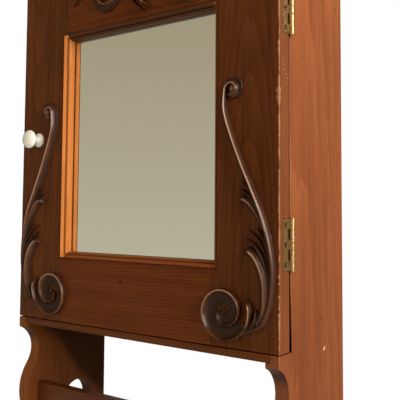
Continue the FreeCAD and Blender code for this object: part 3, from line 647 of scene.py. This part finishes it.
def eased_board(node, material, body, easing, wear=0.35, step=0.009):
    """A board with its arrises rounded and a little uneven from use."""
    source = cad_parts[node]
    bm = bmesh.new()
    bm.from_mesh(source.data)
    bm.transform(source.matrix_world)
    bmesh.ops.remove_doubles(bm, verts=bm.verts[:], dist=1e-6)
    bmesh.ops.dissolve_limit(bm, angle_limit=math.radians(0.6),
                             verts=bm.verts[:], edges=bm.edges[:])
    arrises = [e for e in bm.edges
               if e.is_manifold and e.is_convex and e.calc_face_angle() > SHARP_CORNER
               and e.calc_length() > 4 * easing]
    pieces = []
    for edge in arrises:
        count = int(edge.calc_length() / step)
        pieces.append(edge)
        for left in range(count, 1, -1):
            new_edge, _ = bmesh.utils.edge_split(edge, edge.verts[0], 1.0 / left)
            pieces.append(new_edge)
    made = bmesh.ops.bevel(bm, geom=pieces, offset=easing, offset_type="OFFSET", segments=2,
                           profile=0.5, affect="EDGES", clamp_overlap=False)
    rounded = set(made["faces"])
    bm.normal_update()
    for vert in made["verts"]:
        if all(face in rounded for face in vert.link_faces):
            depth = 0.5 + 0.5 * noise.noise(vert.co * 55.0) + 0.4 * noise.noise(vert.co * 230.0)
            vert.co -= vert.normal * easing * wear * max(depth, 0.0)
    mesh = bpy.data.meshes.new(node + "_eased")
    bm.to_mesh(mesh)
    bm.free()
    return show(node + "_eased", mesh, material, body, [node], flat_above=BROAD_FACE)


# ---- Carving ------------------------------------------------------------------------------------

def spiral(centre, start, end, from_angle, to_angle, steps):
    """Points of a spiral whose radius changes evenly with the angle, in degrees."""
    points = []
    for i in range(steps + 1):
        t = i / steps
        r = start + (end - start) * t
        a = math.radians(from_angle + (to_angle - from_angle) * t)
        points.append((centre[0] + r * math.cos(a), centre[1] + r * math.sin(a)))
    return points


def smooth_line(points, density=10):
    """Even, smooth line through the points."""
    pts = [Vector(p) for p in points]
    pts = [2 * pts[0] - pts[1]] + pts + [2 * pts[-1] - pts[-2]]
    line = []
    for a, b, c, d in zip(pts, pts[1:], pts[2:], pts[3:]):
        for i in range(density):
            t = i / density
            line.append(0.5 * ((2 * b) + (c - a) * t + (2 * a - 5 * b + 4 * c - d) * t * t
                               + (3 * b - a - 3 * c + d) * t ** 3))
    line.append(pts[-2])
    return line


def curve_value(stops, t):
    """Smooth value between stops of (place along the cut, value)."""
    for (t0, v0), (t1, v1) in zip(stops, stops[1:]):
        if t <= t1:
            k = 0.0 if t1 == t0 else max(0.0, min(1.0, (t - t0) / (t1 - t0)))
            k = k * k * (3 - 2 * k)
            return v0 + (v1 - v0) * k
    return stops[-1][1]


# Cross-sections of a cut: (place across from -1 to 1, height from 0 to 1)
RIDGED = ((-1.0, 0.0), (-0.98, 0.14), (-0.80, 0.20), (-0.50, 0.30), (-0.20, 0.45), (0.10, 0.68),
          (0.30, 0.92), (0.42, 1.0), (0.52, 0.95), (0.78, 0.72), (0.88, 0.42), (0.97, 0.22),
          (1.0, 0.0))
DISHED = ((-1.0, 0.0), (-0.99, 0.40), (-0.92, 0.60), (-0.82, 0.58), (-0.62, 0.36), (-0.30, 0.30),
          (0.0, 0.46), (0.22, 0.78), (0.38, 1.0), (0.50, 0.96), (0.76, 0.72), (0.88, 0.42),
          (0.97, 0.22), (1.0, 0.0))
HOLLOWED = ((-1.0, 0.0), (-0.98, 0.22), (-0.90, 0.24), (-0.70, 0.12), (-0.40, 0.10),
            (-0.05, 0.14), (0.30, 0.28), (0.55, 0.56), (0.72, 0.88), (0.82, 1.0), (0.91, 0.93),
            (0.98, 0.66), (1.0, 0.0))
ROUNDED = ((-1.0, 0.0), (-0.99, 0.35), (-0.88, 0.66), (-0.62, 0.90), (-0.25, 1.0), (0.25, 1.0),
           (0.62, 0.90), (0.88, 0.66), (0.99, 0.35), (1.0, 0.0))
FINGER = ((-1.0, 0.0), (-0.97, 0.26), (-0.75, 0.42), (-0.42, 0.70), (-0.12, 0.97), (0.10, 1.0),
          (0.36, 0.80), (0.66, 0.46), (0.90, 0.30), (0.98, 0.24), (1.0, 0.0))


def mixed(first, second, share):
    """Cross-section part way from one to the other; both are read at the same places across."""
    def read(shape, u):
        for (u0, v0), (u1, v1) in zip(shape, shape[1:]):
            if u <= u1:
                return v0 + (v1 - v0) * ((u - u0) / (u1 - u0) if u1 > u0 else 1.0)
        return shape[-1][1]
    places = [-1.0, -0.97, -0.88, -0.78, -0.65, -0.5, -0.35, -0.2, -0.05, 0.1, 0.22, 0.34,
              0.42, 0.5, 0.6, 0.7, 0.8, 0.88, 0.97, 1.0]
    inner = [(u, read(first, u) * (1 - share) + read(second, u) * share) for u in places[1:-1]]
    return [(-1.0, 0.0)] + inner + [(1.0, 0.0)]


def cut(bm, line, widths, heights, sections, face_y, sunk=0.0004, flip=1.0):
    """Sweeps a cross-section along a line on the door's face; widths and heights are stops."""
    rings = []
    count = len(line)
    for i, here in enumerate(line):
        t = i / (count - 1)
        before, after = line[max(i - 1, 0)], line[min(i + 1, count - 1)]
        run = (after - before).normalized()
        across = Vector((run.y, -run.x)) * flip
        half = curve_value(widths, t) / 2
        tall = curve_value(heights, t)
        section = sections(t) if callable(sections) else sections
        ring = []
        for u, v in section:
            p = here + across * (u * half)
            depth = -sunk if v == 0.0 else tall * v
            ring.append(bm.verts.new((p.x, face_y - depth, p.y)))
        rings.append(ring)
    size = len(rings[0])
    for a, b in zip(rings, rings[1:]):
        for j in range(size):
            k = (j + 1) % size
            bm.faces.new((a[j], a[k], b[k], b[j]))
    bm.faces.new(rings[0])
    bm.faces.new(list(reversed(rings[-1])))


def bead(bm, centre, radius, tall, face_y):
    """Small button at the end of a scroll."""
    made = bmesh.ops.create_uvsphere(bm, u_segments=24, v_segments=14, radius=1.0)
    for vert in made["verts"]:
        x, y, z = vert.co
        vert.co = (centre[0] + x * radius, face_y - tall * 0.5 + y * tall * 0.5,
                   centre[1] + z * radius)


def carved(name, bm, mirror_x, material, node, fineness):
    """Joins the cuts of a carving into one skin, as a carver leaves one piece of wood."""
    if mirror_x:
        bm.transform(Matrix.Scale(-1.0, 4, (1, 0, 0)))
    bmesh.ops.recalc_face_normals(bm, faces=bm.faces[:])
    mesh = bpy.data.meshes.new(name + "_cuts")
    bm.to_mesh(mesh)
    bm.free()
    rough = bpy.data.objects.new(name + "_cuts", mesh)
    bpy.context.scene.collection.objects.link(rough)
    joined = rough.modifiers.new("one skin", "REMESH")
    joined.mode = "VOXEL"
    joined.voxel_size = fineness
    joined.adaptivity = 0.0
    eased = rough.modifiers.new("sanded", "SMOOTH")
    eased.factor = 0.5
    eased.iterations = 4
    view = bpy.context.evaluated_depsgraph_get()
    skin = bpy.data.meshes.new_from_object(rough.evaluated_get(view))
    bpy.data.objects.remove(rough)
    return show(name, skin, material, DOOR, [node], smooth_below=180.0)


def from_offsets(origin, offsets):
    return [(origin[0] + dx, origin[1] + dz) for dx, dz in offsets]


def metres(points):
    return [(x * MM, z * MM) for x, z in points]


# Leaf fingers: (line from tip to root, breadth as a share of the stem, height as a share)
SIDE_LEAVES = (
    ([(-4, 83), (2, 87), (11, 82), (21, 70), (30, 55), (37, 38)], 1.20, 0.90),
    ([(-5, 99), (3, 96.5), (12, 89.5), (21, 77), (29, 60)], 0.50, 0.66),
    ([(-2, 110), (7, 103), (16, 90), (25, 74)], 0.36, 0.60),
    ([(8, 113), (14, 103), (22, 87), (28, 72)], 0.26, 0.55),
    ([(2, 19), (9, 23), (18, 17), (26, 4), (31, -12), (32, -34), (28, -52),
      (20, -66)], 1.35, 0.94),
    ([(5, 38), (16, 32), (26, 20), (33, 5), (37, -8)], 0.46, 0.68),
    ([(9, 49), (21, 40), (31, 26), (37, 12)], 0.34, 0.60),
    ([(20, 53), (28, 43), (35, 28), (40, 12)], 0.26, 0.55),
    ([(6, -36), (11, -46), (10.5, -59), (6, -70), (-2, -77)], 0.72, 0.96),
    ([(20, -47), (20, -56), (16, -65), (9, -73)], 0.50, 0.78),
)
TOP_LEAVES = (
    ([(-129, 54), (-112, 66), (-92, 72), (-76, 70), (-66, 62)], 0.95, 0.96),
    ([(-124, 42), (-110, 53), (-96, 60), (-84, 62), (-72, 58)], 0.55, 0.80),
    ([(-118, 70), (-104, 78), (-88, 81), (-74, 78), (-62, 72)], 0.55, 0.75),
    ([(37, 12), (24, 20), (9, 33), (-4, 48), (-14, 62)], 0.75, 0.94),
    ([(44, 24), (30, 29), (15, 39), (2, 52), (-8, 64)], 0.50, 0.78),
    ([(24, 8), (12, 17), (0, 29), (-10, 43), (-18, 58)], 0.45, 0.72),
    ([(128, 52), (112, 50), (98, 47), (86, 45), (76, 48)], 0.60, 0.85),
)
# The side carving's stem, from under its curl down to the volute
STEM_LINE = ((-28.5, 206), (-24.5, 187), (-15, 161), (-2.5, 131), (11, 102), (24.5, 72),
             (33.5, 43), (38.5, 14), (39.0, -14), (34.5, -42), (25.0, -63))


def sized(stops, *sizes):
    """Stops of (place along the cut, share), with each share made a size."""
    return [(t, math.prod((share, *sizes))) for t, share in stops]


def leaves(bm, carvings, origin, fingers, tip, widths, fullest, face_y):
    """Cuts leaf fingers. All tips are as broad; each is tallest at the place fullest along it."""
    heights = ((0, 0.50), (fullest, 1.0), (0.7, 0.92), (1.0, 0.55))
    for offsets, breadth, part in fingers:
        cut(bm, smooth_line(metres(from_offsets(origin, offsets)), 9),
            [(0, tip * carvings.stem)] + sized(widths, breadth, carvings.stem),
            sized(heights, part, carvings.height), FINGER, face_y)


def side_scroll(bm, carvings, x0, z0, face_y):
    """Long C-scroll beside the mirror: curl, stem, hollowed volute, leaves. Millimetres in."""
    tall, stem = carvings.height, carvings.stem
    eye = (x0 - 26.5, z0 - 54)
    curl_eye = (x0 - 15, z0 + 227.5)
    curl = spiral(curl_eye, 7.0, 12.0, -130, 180, 20)
    rise = from_offsets((x0, z0), STEM_LINE)
    volute = spiral(eye, 30.0, 6.0, -42, -540, 34)

    def stem_section(t):
        hollowing = curve_value([(0, 0), (0.12, 0.3), (0.26, 1), (1, 1)], t)
        ridging = curve_value([(0, 0), (0.36, 0), (0.52, 1), (1, 1)], t)
        return mixed(mixed(ROUNDED, DISHED, hollowing), RIDGED, ridging)

    def volute_section(t):
        return mixed(RIDGED, HOLLOWED, curve_value([(0, 0), (0.14, 1), (1, 1)], t))

    cut(bm, smooth_line(metres(curl + rise), 8),
        sized(((0, 0.55), (0.20, 0.80), (0.34, 1.15), (0.50, 0.95), (0.66, 0.80), (0.80, 0.95),
               (0.92, 1.15), (1.0, 1.3)), stem),
        sized(((0, 0.75), (0.2, 0.9), (0.5, 0.94), (0.8, 1.0), (1.0, 0.6)), tall),
        stem_section, face_y, flip=-1.0)
    cut(bm, smooth_line(metres(rise[-3:] + volute), 6),
        sized(((0, 0.9), (0.10, 1.35), (0.30, 1.75), (0.55, 1.75), (0.85, 1.15), (1.0, 0.7)),
              stem),
        sized(((0, 0.6), (0.12, 0.85), (0.5, 0.98), (0.8, 0.75), (1.0, 0.60)), tall),
        volute_section, face_y, flip=-1.0)
    bead(bm, metres([(eye[0] - 1.0, eye[1] + 1.0)])[0], 0.0034, tall * 0.50, face_y)
    bead(bm, metres([(curl_eye[0] + 1.4, curl_eye[1] + 0.2)])[0], 0.0062, tall * 0.86, face_y)
    leaves(bm, carvings, (x0, z0), SIDE_LEAVES, 0.12,
           ((0.18, 0.80), (0.5, 1.0), (1.0, 0.7)), 0.2, face_y)


def top_scroll(bm, carvings, z0, face_y):
    """Carving over the mirror: volute, stem to a smaller curl, leaves. Millimetres in."""
    tall, stem = carvings.height, carvings.stem
    eye, curl_eye = (-48, z0 + 49), (104, z0 + 22)
    volute = spiral(eye, 6.0, 30.0, 560, 80, 34)
    run = from_offsets((0, z0), [(-14, 74), (20, 67), (56, 55), (84, 42)])
    curl = spiral(curl_eye, 16.0, 4.5, 120, -300, 24)

    def section(t):
        return mixed(DISHED, RIDGED,
                     curve_value([(0, 0), (0.45, 0), (0.60, 1), (0.75, 1), (1, 0.1)], t))

    cut(bm, smooth_line(metres(volute[:-1] + run + curl), 6),
        sized(((0, 0.8), (0.30, 1.25), (0.48, 1.35), (0.62, 1.1), (0.75, 1.0), (1.0, 0.7)), stem),
        sized(((0, 1.0), (0.3, 0.88), (0.6, 0.92), (1.0, 1.0)), tall), section, face_y)
    bead(bm, metres([eye])[0], 0.0062, tall, face_y)
    bead(bm, metres([curl_eye])[0], 0.0042, tall * 0.95, face_y)
    leaves(bm, carvings, (0, z0), TOP_LEAVES, 0.10,
           ((0.25, 0.8), (0.6, 1.0), (1.0, 0.6)), 0.3, face_y)


def carving_wood(name, grain, face_y, gathered):
    """Stain, varnish, painted shade and painted highlight of a carving; gathered is how much stain
    and painted shade lie in its hollows.
    """
    woods = bpy.context.scene.cabinet_woods
    return wood(name, tuple(woods.carved_dark), tuple(woods.carved_light), grain,
                (0.13, 0.11, 0.0), (0.03, 0.02, 0.0), woods.gloss - 0.12,
                hollow=(face_y, gathered), contrast=0.2, ring=woods.ring_spacing, sheen=0.27,
                grain_relief=0.10, wear_and_highlight_colour=tuple(woods.painted_highlight))


# ---- Operators: one for each piece or group of like pieces --------------------------------------

class CabinetOperator:
    bl_options = {"REGISTER", "UNDO"}


class CABINET_OT_door_frame(CabinetOperator, bpy.types.Operator):
    """Stiles and rails of the door, stained dark, with their moulded edge round the glass"""
    bl_idname = "cabinet.door_frame"
    bl_label = "Door frame"

    def execute(self, context):
        woods = context.scene.cabinet_woods
        low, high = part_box("stile_hinge")
        rub = [({"x": high.x, "y": low.y}, 0.0014, 0.85)]
        # Painted light for the hinge stile's edge face, in the case's colours
        edge_face_light_tones = tuple(tinted(tone, HINGE_EDGE_LIGHT_TINT)
                           for tone in (woods.case_dark, woods.case_light))
        marks = {node: self.knot(*where) for node, where in KNOTS.items()}
        marks["stile_hinge"] = self.chips(low, high)
        for node, grain in DOOR_BOARDS.items():
            at_hinges = node == "stile_hinge"
            tint = STILE_TINT if grain == "z" else RAIL_TINT
            dark, light = (tinted(tone, tint) for tone in (woods.door_dark, woods.door_light))
            # Moulding colours with painted light and shade, board by board
            moulding_painted_tones = tuple(tinted(tone, MOULDING_LIGHT_AND_SHADE[node])
                        for tone in (woods.moulding_dark, woods.moulding_light))
            material = wood(node + "_stained", dark, light, grain, DOOR_PITH[node],
                            DOOR_TILT[node], woods.gloss, rub if at_hinges else (),
                            tuple(woods.worn), ring=woods.ring_spacing, moulded=moulding_painted_tones,
                            marks=marks.get(node, ()), sheen=0.10, contrast=0.55,
                            painted_light_on_edge=edge_face_light_tones if at_hinges else None)
            eased_board(node, material, DOOR, woods.easing,
                        wear=0.6 if at_hinges else 0.35)
        return {"FINISHED"}

    def knot(self, x, z, reach):
        """A small dark knot or an old nail hole on the door's face."""
        woods = bpy.context.scene.cabinet_woods
        return [({"x": x, "z": z}, reach, 0.9, shaded(woods.door_dark, 0.2))]

    def chips(self, low, high):
        """Chips along the front arris of the hinge stile, and the scratch on its edge."""
        bare = tuple(bpy.context.scene.cabinet_woods.worn)
        spots = [({"x": high.x, "y": low.y, "z": high.z - drop}, reach, 0.9, bare)
                 for drop, reach in CHIPS]
        for i in range(SCRATCH_SPOTS):
            t = i / (SCRATCH_SPOTS - 1)
            spots.append(({"x": high.x, "y": low.y + SCRATCH_BACK + SCRATCH_RUN_BACK * t,
                           "z": high.z - SCRATCH_DROP - SCRATCH_RUN_DOWN * t},
                          0.0016, 0.8, bare))
        return spots


class CABINET_OT_case_boards(CabinetOperator, bpy.types.Operator):
    """Sides with their scrolled lower ends, the rail between them, and the other boards"""
    bl_idname = "cabinet.case_boards"
    bl_label = "Case boards"

    def execute(self, context):
        woods = context.scene.cabinet_woods
        low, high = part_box("side_right")
        hinge_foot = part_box("hinge_case_leaf_lower")[0].z
        hole = (low.y + HOLE_SETBACK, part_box("case_bottom")[1].z - HOLE_DROP, HOLE_RADIUS)
        shade = (low.x, low.y + SHADE_BACK, low.y + SHADE_FRONT)
        only_on = {
            "side_left": {"sheen": 0.10, "inner_dark": shade, "pierced": hole},
            "side_right": {"sheen": 0.22, "inner_dark": shade, "pierced": hole,
                           "rub": [({"x": high.x, "y": low.y}, 0.0011, 0.5)],
                           "shut_away": hinge_foot, "marks": self.dents(high),
                           "darker_downwards": (high.z, low.z)},
            "lower_rail": {"sheen": 0.22},
        }
        for i, (node, grain) in enumerate(CASE_BOARDS.items()):
            dark, light = tuple(woods.case_dark), tuple(woods.case_light)
            if node == "lower_rail":
                dark, light = tuple(woods.door_dark), tuple(woods.door_light)
            elif node == "side_left":
                # Painted shade: the left end is darker and yellower
                dark, light = tinted(dark, LEFT_SIDE_SHADE_TINT), tinted(light, LEFT_SIDE_SHADE_TINT)
            material = wood(node + "_stained", dark, light, grain,
                            (0.31 * i + 0.2, 0.09 + 0.07 * i, 0.0), (0.02, 0.018, 0.0),
                            woods.gloss + 0.04, wear_and_highlight_colour=tuple(woods.worn), contrast=0.7,
                            ring=woods.ring_spacing, **only_on[node])
            eased_board(node, material, CASE, woods.easing)
        for i, (node, grain) in enumerate(TRIM_BOARDS.items()):
            material = wood(node + "_stained", tuple(woods.door_dark), tuple(woods.door_light),
                            grain, (0.23 * i + 0.1, 0.05 + 0.03 * i, 0.1), (0.02, 0.01, 0.0),
                            woods.gloss, wear_and_highlight_colour=tuple(woods.worn),
                            ring=woods.ring_spacing, sheen=0.12)
            eased_board(node, material, CASE, woods.easing)
        return {"FINISHED"}

    def dents(self, high):
        """Nail head, dents and a fresh chip on the outer face of the right side."""
        # Dents and the nail head are painted as dark spots
        dark_spot = shaded(bpy.context.scene.cabinet_woods.case_dark, 0.12)
        return [({"x": high.x, "y": y, "z": z}, reach, strength, FRESH_CHIP if bare else dark_spot)
                for y, z, reach, strength, bare in DENTS]


class CABINET_OT_interior(CabinetOperator, bpy.types.Operator):
    """Shelves, hanging rail and back boards"""
    bl_idname = "cabinet.interior"
    bl_label = "Inside"

    def execute(self, context):
        woods = context.scene.cabinet_woods
        for slot, group in (("inner_wood", INNER_BOARDS), ("back_wood", BACK_BOARDS)):
            for i, (node, grain) in enumerate(group.items()):
                material = wood(node + "_oiled", tuple(woods.inner_dark),
                                tuple(woods.inner_light), grain,
                                (0.17 * i + 0.05, 0.06 + 0.045 * i, 0.3 * i),
                                (0.03, -0.02, 0.0), woods.gloss + 0.18,
                                ring=woods.ring_spacing)
                eased_board(node, material, CASE, woods.easing)
        return {"FINISHED"}


class CABINET_OT_side_carvings(CabinetOperator, bpy.types.Operator):
    """The pair of long scrolls beside the mirror"""
    bl_idname = "cabinet.side_carvings"
    bl_label = "Side carvings"

    def execute(self, context):
        carvings = context.scene.cabinet_carvings
        face_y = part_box("stile_hinge")[0].y
        material = carving_wood("carving_side_stained", "z", face_y, 0.90)
        low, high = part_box("stile_hinge")
        x0 = (low.x + high.x) / 2 / MM
        z0 = (sight_opening()["bottom"] - MOULDING) / MM
        for node, mirror_x in (("carving_right", False), ("carving_left", True)):
            bm = bmesh.new()
            side_scroll(bm, carvings, x0, z0, face_y)
            carved(node + "_carved", bm, mirror_x, material, node, carvings.grain_of_cut)
        return {"FINISHED"}


class CABINET_OT_top_carving(CabinetOperator, bpy.types.Operator):
    """The scroll over the mirror"""
    bl_idname = "cabinet.top_carving"
    bl_label = "Top carving"

    def execute(self, context):
        carvings = context.scene.cabinet_carvings
        face_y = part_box("rail_top")[0].y
        material = carving_wood("carving_top_stained", "x", face_y, 0.55)
        bm = bmesh.new()
        top_scroll(bm, carvings, (sight_opening()["top"] + MOULDING) / MM, face_y)
        carved("carving_top_carved", bm, False, material, "carving_top", carvings.grain_of_cut)
        return {"FINISHED"}


class CABINET_OT_mirror(CabinetOperator, bpy.types.Operator):
    """Mirror glass and the card behind it"""
    bl_idname = "cabinet.mirror"
    bl_label = "Mirror"

    def execute(self, context):
        finish_node("mirror_glass", mirror_material(context.scene.cabinet_fittings))
        finish_node("mirror_backing", backing_material())
        return {"FINISHED"}


class CABINET_OT_knob(CabinetOperator, bpy.types.Operator):
    """Turned porcelain knob with its flange"""
    bl_idname = "cabinet.knob"
    bl_label = "Knob"

    def execute(self, context):
        low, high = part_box("knob")
        centre_x, centre_z = (low.x + high.x) / 2, (low.z + high.z) / 2
        head = (high.x - low.x) / 2
        foot, crown = high.y, low.y
        reach = foot - crown
        flange, neck = head * 0.775, head * 0.40
        outline = [(0.0, 0.0), (flange * 0.97, 0.0), (flange, 0.03), (flange, 0.09),
                   (flange * 0.95, 0.135), (flange * 0.80, 0.165), (neck * 1.30, 0.20),
                   (neck * 1.02, 0.27), (neck, 0.36), (neck * 1.10, 0.44)]
        half_depth = 0.25
        for i in range(15):
            a = math.radians(-62 + 152 * i / 14)
            outline.append((head * math.cos(a), 0.75 + half_depth * math.sin(a)))
        outline[-1] = (0.0, 1.0)
        bm = bmesh.new()
        around = 56
        rings = []
        for radius, along in outline:
            y = foot - reach * along
            if radius == 0.0:
                rings.append([bm.verts.new((centre_x, y, centre_z))])
            else:
                turns = [2 * math.pi * k / around for k in range(around)]
                rings.append([bm.verts.new((centre_x + radius * math.cos(a), y,
                                            centre_z + radius * math.sin(a))) for a in turns])
        for a, b in zip(rings, rings[1:]):
            for k in range(around):
                n = (k + 1) % around
                if len(a) == 1:
                    bm.faces.new((a[0], b[k], b[n]))
                elif len(b) == 1:
                    bm.faces.new((a[k], b[0], a[n]))
                else:
                    bm.faces.new((a[k], b[k], b[n], a[n]))
        bmesh.ops.recalc_face_normals(bm, faces=bm.faces[:])
        mesh = bpy.data.meshes.new("knob_turned")
        bm.to_mesh(mesh)
        bm.free()
        material = porcelain_material(context.scene.cabinet_fittings)
        show("knob_turned", mesh, material, DOOR, ["knob"], smooth_below=60.0)
        return {"FINISHED"}


class CABINET_OT_hinges(CabinetOperator, bpy.types.Operator):
    """Brass butt hinges with their pins and slotted screws"""
    bl_idname = "cabinet.hinges"
    bl_label = "Hinges"

    def execute(self, context):
        fittings = context.scene.cabinet_fittings
        leaf = metal("hinge_brass", fittings.brass, fittings.tarnish, 0.40, scale=420.0)
        screw = metal("hinge_screw_brass", shaded(fittings.brass, 0.30),
                      shaded(fittings.tarnish, 0.35), 0.42)
        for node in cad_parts:
            if node.startswith("hinge_"):
                finish_node(node, screw if node.endswith("_screws") else leaf)
        return {"FINISHED"}


class CABINET_OT_fasteners(CabinetOperator, bpy.types.Operator):
    """Nails, brads and the bolt that holds the knob"""
    bl_idname = "cabinet.fasteners"
    bl_label = "Nails and bolt"

    def execute(self, context):
        fittings = context.scene.cabinet_fittings
        steel = metal("rusted_steel", fittings.steel, (0.09, 0.045, 0.02), 0.45, scale=500.0)
        for node in ("side_nails", "back_nails", "backing_brads",
                     "knob_bolt", "knob_nut", "knob_washer"):
            finish_node(node, steel)
        return {"FINISHED"}


class CABINET_OT_stage(CabinetOperator, bpy.types.Operator):
    """Pale floor, surroundings, lights and camera"""
    bl_idname = "cabinet.stage"
    bl_label = "Stage"

    def execute(self, context):
        scene = context.scene
        stage = scene.cabinet_stage
        scene.view_settings.view_transform = "Standard"
        scene.view_settings.look = "None"
        low, high = joinery_box

        bm = bmesh.new()
        bmesh.ops.create_circle(bm, cap_ends=True, segments=128, radius=stage.floor_radius)
        mesh = bpy.data.meshes.new("floor")
        bm.to_mesh(mesh)
        bm.free()
        floor = bpy.data.objects.new("floor", mesh)
        floor.location = ((low.x + high.x) / 2, (low.y + high.y) / 2, low.z - stage.floor_drop)
        scene.collection.objects.link(floor)
        pale, tree, shader = new_material("pale_floor")
        mottle = speckle(tree, stretched(tree, place(tree), (3, 3, 3)), detail=2.0)
        tone = blend_colours(tree, mottle, (0.80, 0.79, 0.77), (0.86, 0.855, 0.84))
        tree.links.new(tone, shader.inputs["Base Color"])
        shader.inputs["Roughness"].default_value = 0.7
        assign(floor, pale)

        self.surroundings(scene)
        for name, (place_at, aim, size, tint, power) in LAMPS.items():
            self.lamp(scene, name, place_at, aim, size, getattr(stage, power), tint)

        camera_data = bpy.data.cameras.new("camera")
        camera_data.sensor_width = 36.0
        camera_data.lens = stage.lens
        camera_data.shift_y = CAMERA_RISE
        camera_data.clip_start = 0.02
        camera_data.clip_end = 50.0
        camera = bpy.data.objects.new("camera", camera_data)
        camera.matrix_world = (Matrix.Translation(CAMERA_PLACE)
                               @ Matrix.Rotation(CAMERA_YAW, 4, "Z")
                               @ Matrix.Rotation(math.pi / 2 + CAMERA_PITCH, 4, "X")
                               @ Matrix.Rotation(CAMERA_ROLL, 4, "Z"))
        scene.collection.objects.link(camera)
        scene.camera = camera
        return {"FINISHED"}

    def surroundings(self, scene):
        """Plain white backdrop; the light that reaches the cabinet is that of a dim beige room."""
        world = bpy.data.worlds.new("room")
        world.use_nodes = True
        tree = world.node_tree
        tree.nodes.clear()
        way = put(tree, "ShaderNodeTexCoord", out="Generated")
        _, y, z = axes(tree, way)
        facing = blend_colours(tree, spread(tree, z, -0.30, 0.34, smooth=False),
                               (0.62, 0.590, 0.455), (0.385, 0.330, 0.220))
        room = blend_colours(tree, spread(tree, y, -0.35, 0.05), facing, (0.085, 0.075, 0.060))
        seen = put(tree, "ShaderNodeLightPath", out="Is Camera Ray")
        background = tree.nodes.new("ShaderNodeBackground")
        tree.links.new(blend_colours(tree, seen, room, (1.0, 1.0, 1.0)), background.inputs["Color"])
        background.inputs["Strength"].default_value = 1.0
        output = tree.nodes.new("ShaderNodeOutputWorld")
        tree.links.new(background.outputs[0], output.inputs["Surface"])
        scene.world = world

    def lamp(self, scene, name, where, aim, size, power, tint):
        data = bpy.data.lights.new(name, "AREA")
        data.shape = "RECTANGLE"
        data.size, data.size_y = size
        data.energy = power
        data.color = tint
        lamp = bpy.data.objects.new(name, data)
        lamp.location = where
        lamp.rotation_mode = "QUATERNION"
        lamp.rotation_quaternion = (Vector(aim) - Vector(where)).to_track_quat("-Z", "Y")
        scene.collection.objects.link(lamp)


class CABINET_PT_sidebar(bpy.types.Panel):
    """Lists the cabinet's settings and its pieces"""
    bl_idname = "CABINET_PT_sidebar"
    bl_label = "Carved Medicine Cabinet"
    bl_space_type = "VIEW_3D"
    bl_region_type = "UI"
    bl_category = "Cabinet"

    def draw(self, context):
        layout = self.layout
        for group in (context.scene.cabinet_woods, context.scene.cabinet_carvings,
                      context.scene.cabinet_fittings, context.scene.cabinet_stage):
            box = layout.box()
            for key in group.__annotations__:
                box.prop(group, key)
        for piece in PIECES:
            layout.operator(piece.bl_idname)


GROUPS = {"cabinet_woods": CabinetWoods, "cabinet_carvings": CabinetCarvings,
          "cabinet_fittings": CabinetFittings, "cabinet_stage": CabinetStage}
PIECES = (CABINET_OT_door_frame, CABINET_OT_case_boards, CABINET_OT_interior,
          CABINET_OT_side_carvings, CABINET_OT_top_carving, CABINET_OT_mirror,
          CABINET_OT_knob, CABINET_OT_hinges, CABINET_OT_fasteners, CABINET_OT_stage)


def register():
    for cls in (*GROUPS.values(), *PIECES, CABINET_PT_sidebar):
        bpy.utils.register_class(cls)
    for name, group in GROUPS.items():
        setattr(bpy.types.Scene, name, PointerProperty(type=group))


def unregister():
    for name in GROUPS:
        delattr(bpy.types.Scene, name)
    for cls in reversed((*GROUPS.values(), *PIECES, CABINET_PT_sidebar)):
        bpy.utils.unregister_class(cls)


def main():
    register()
    bpy.ops.cabinet.door_frame()
    bpy.ops.cabinet.case_boards()
    bpy.ops.cabinet.interior()
    bpy.ops.cabinet.side_carvings()
    bpy.ops.cabinet.top_carving()
    bpy.ops.cabinet.mirror()
    bpy.ops.cabinet.knob()
    bpy.ops.cabinet.hinges()
    bpy.ops.cabinet.fasteners()
    bpy.ops.cabinet.stage()


if __name__ == "__main__":
    main()
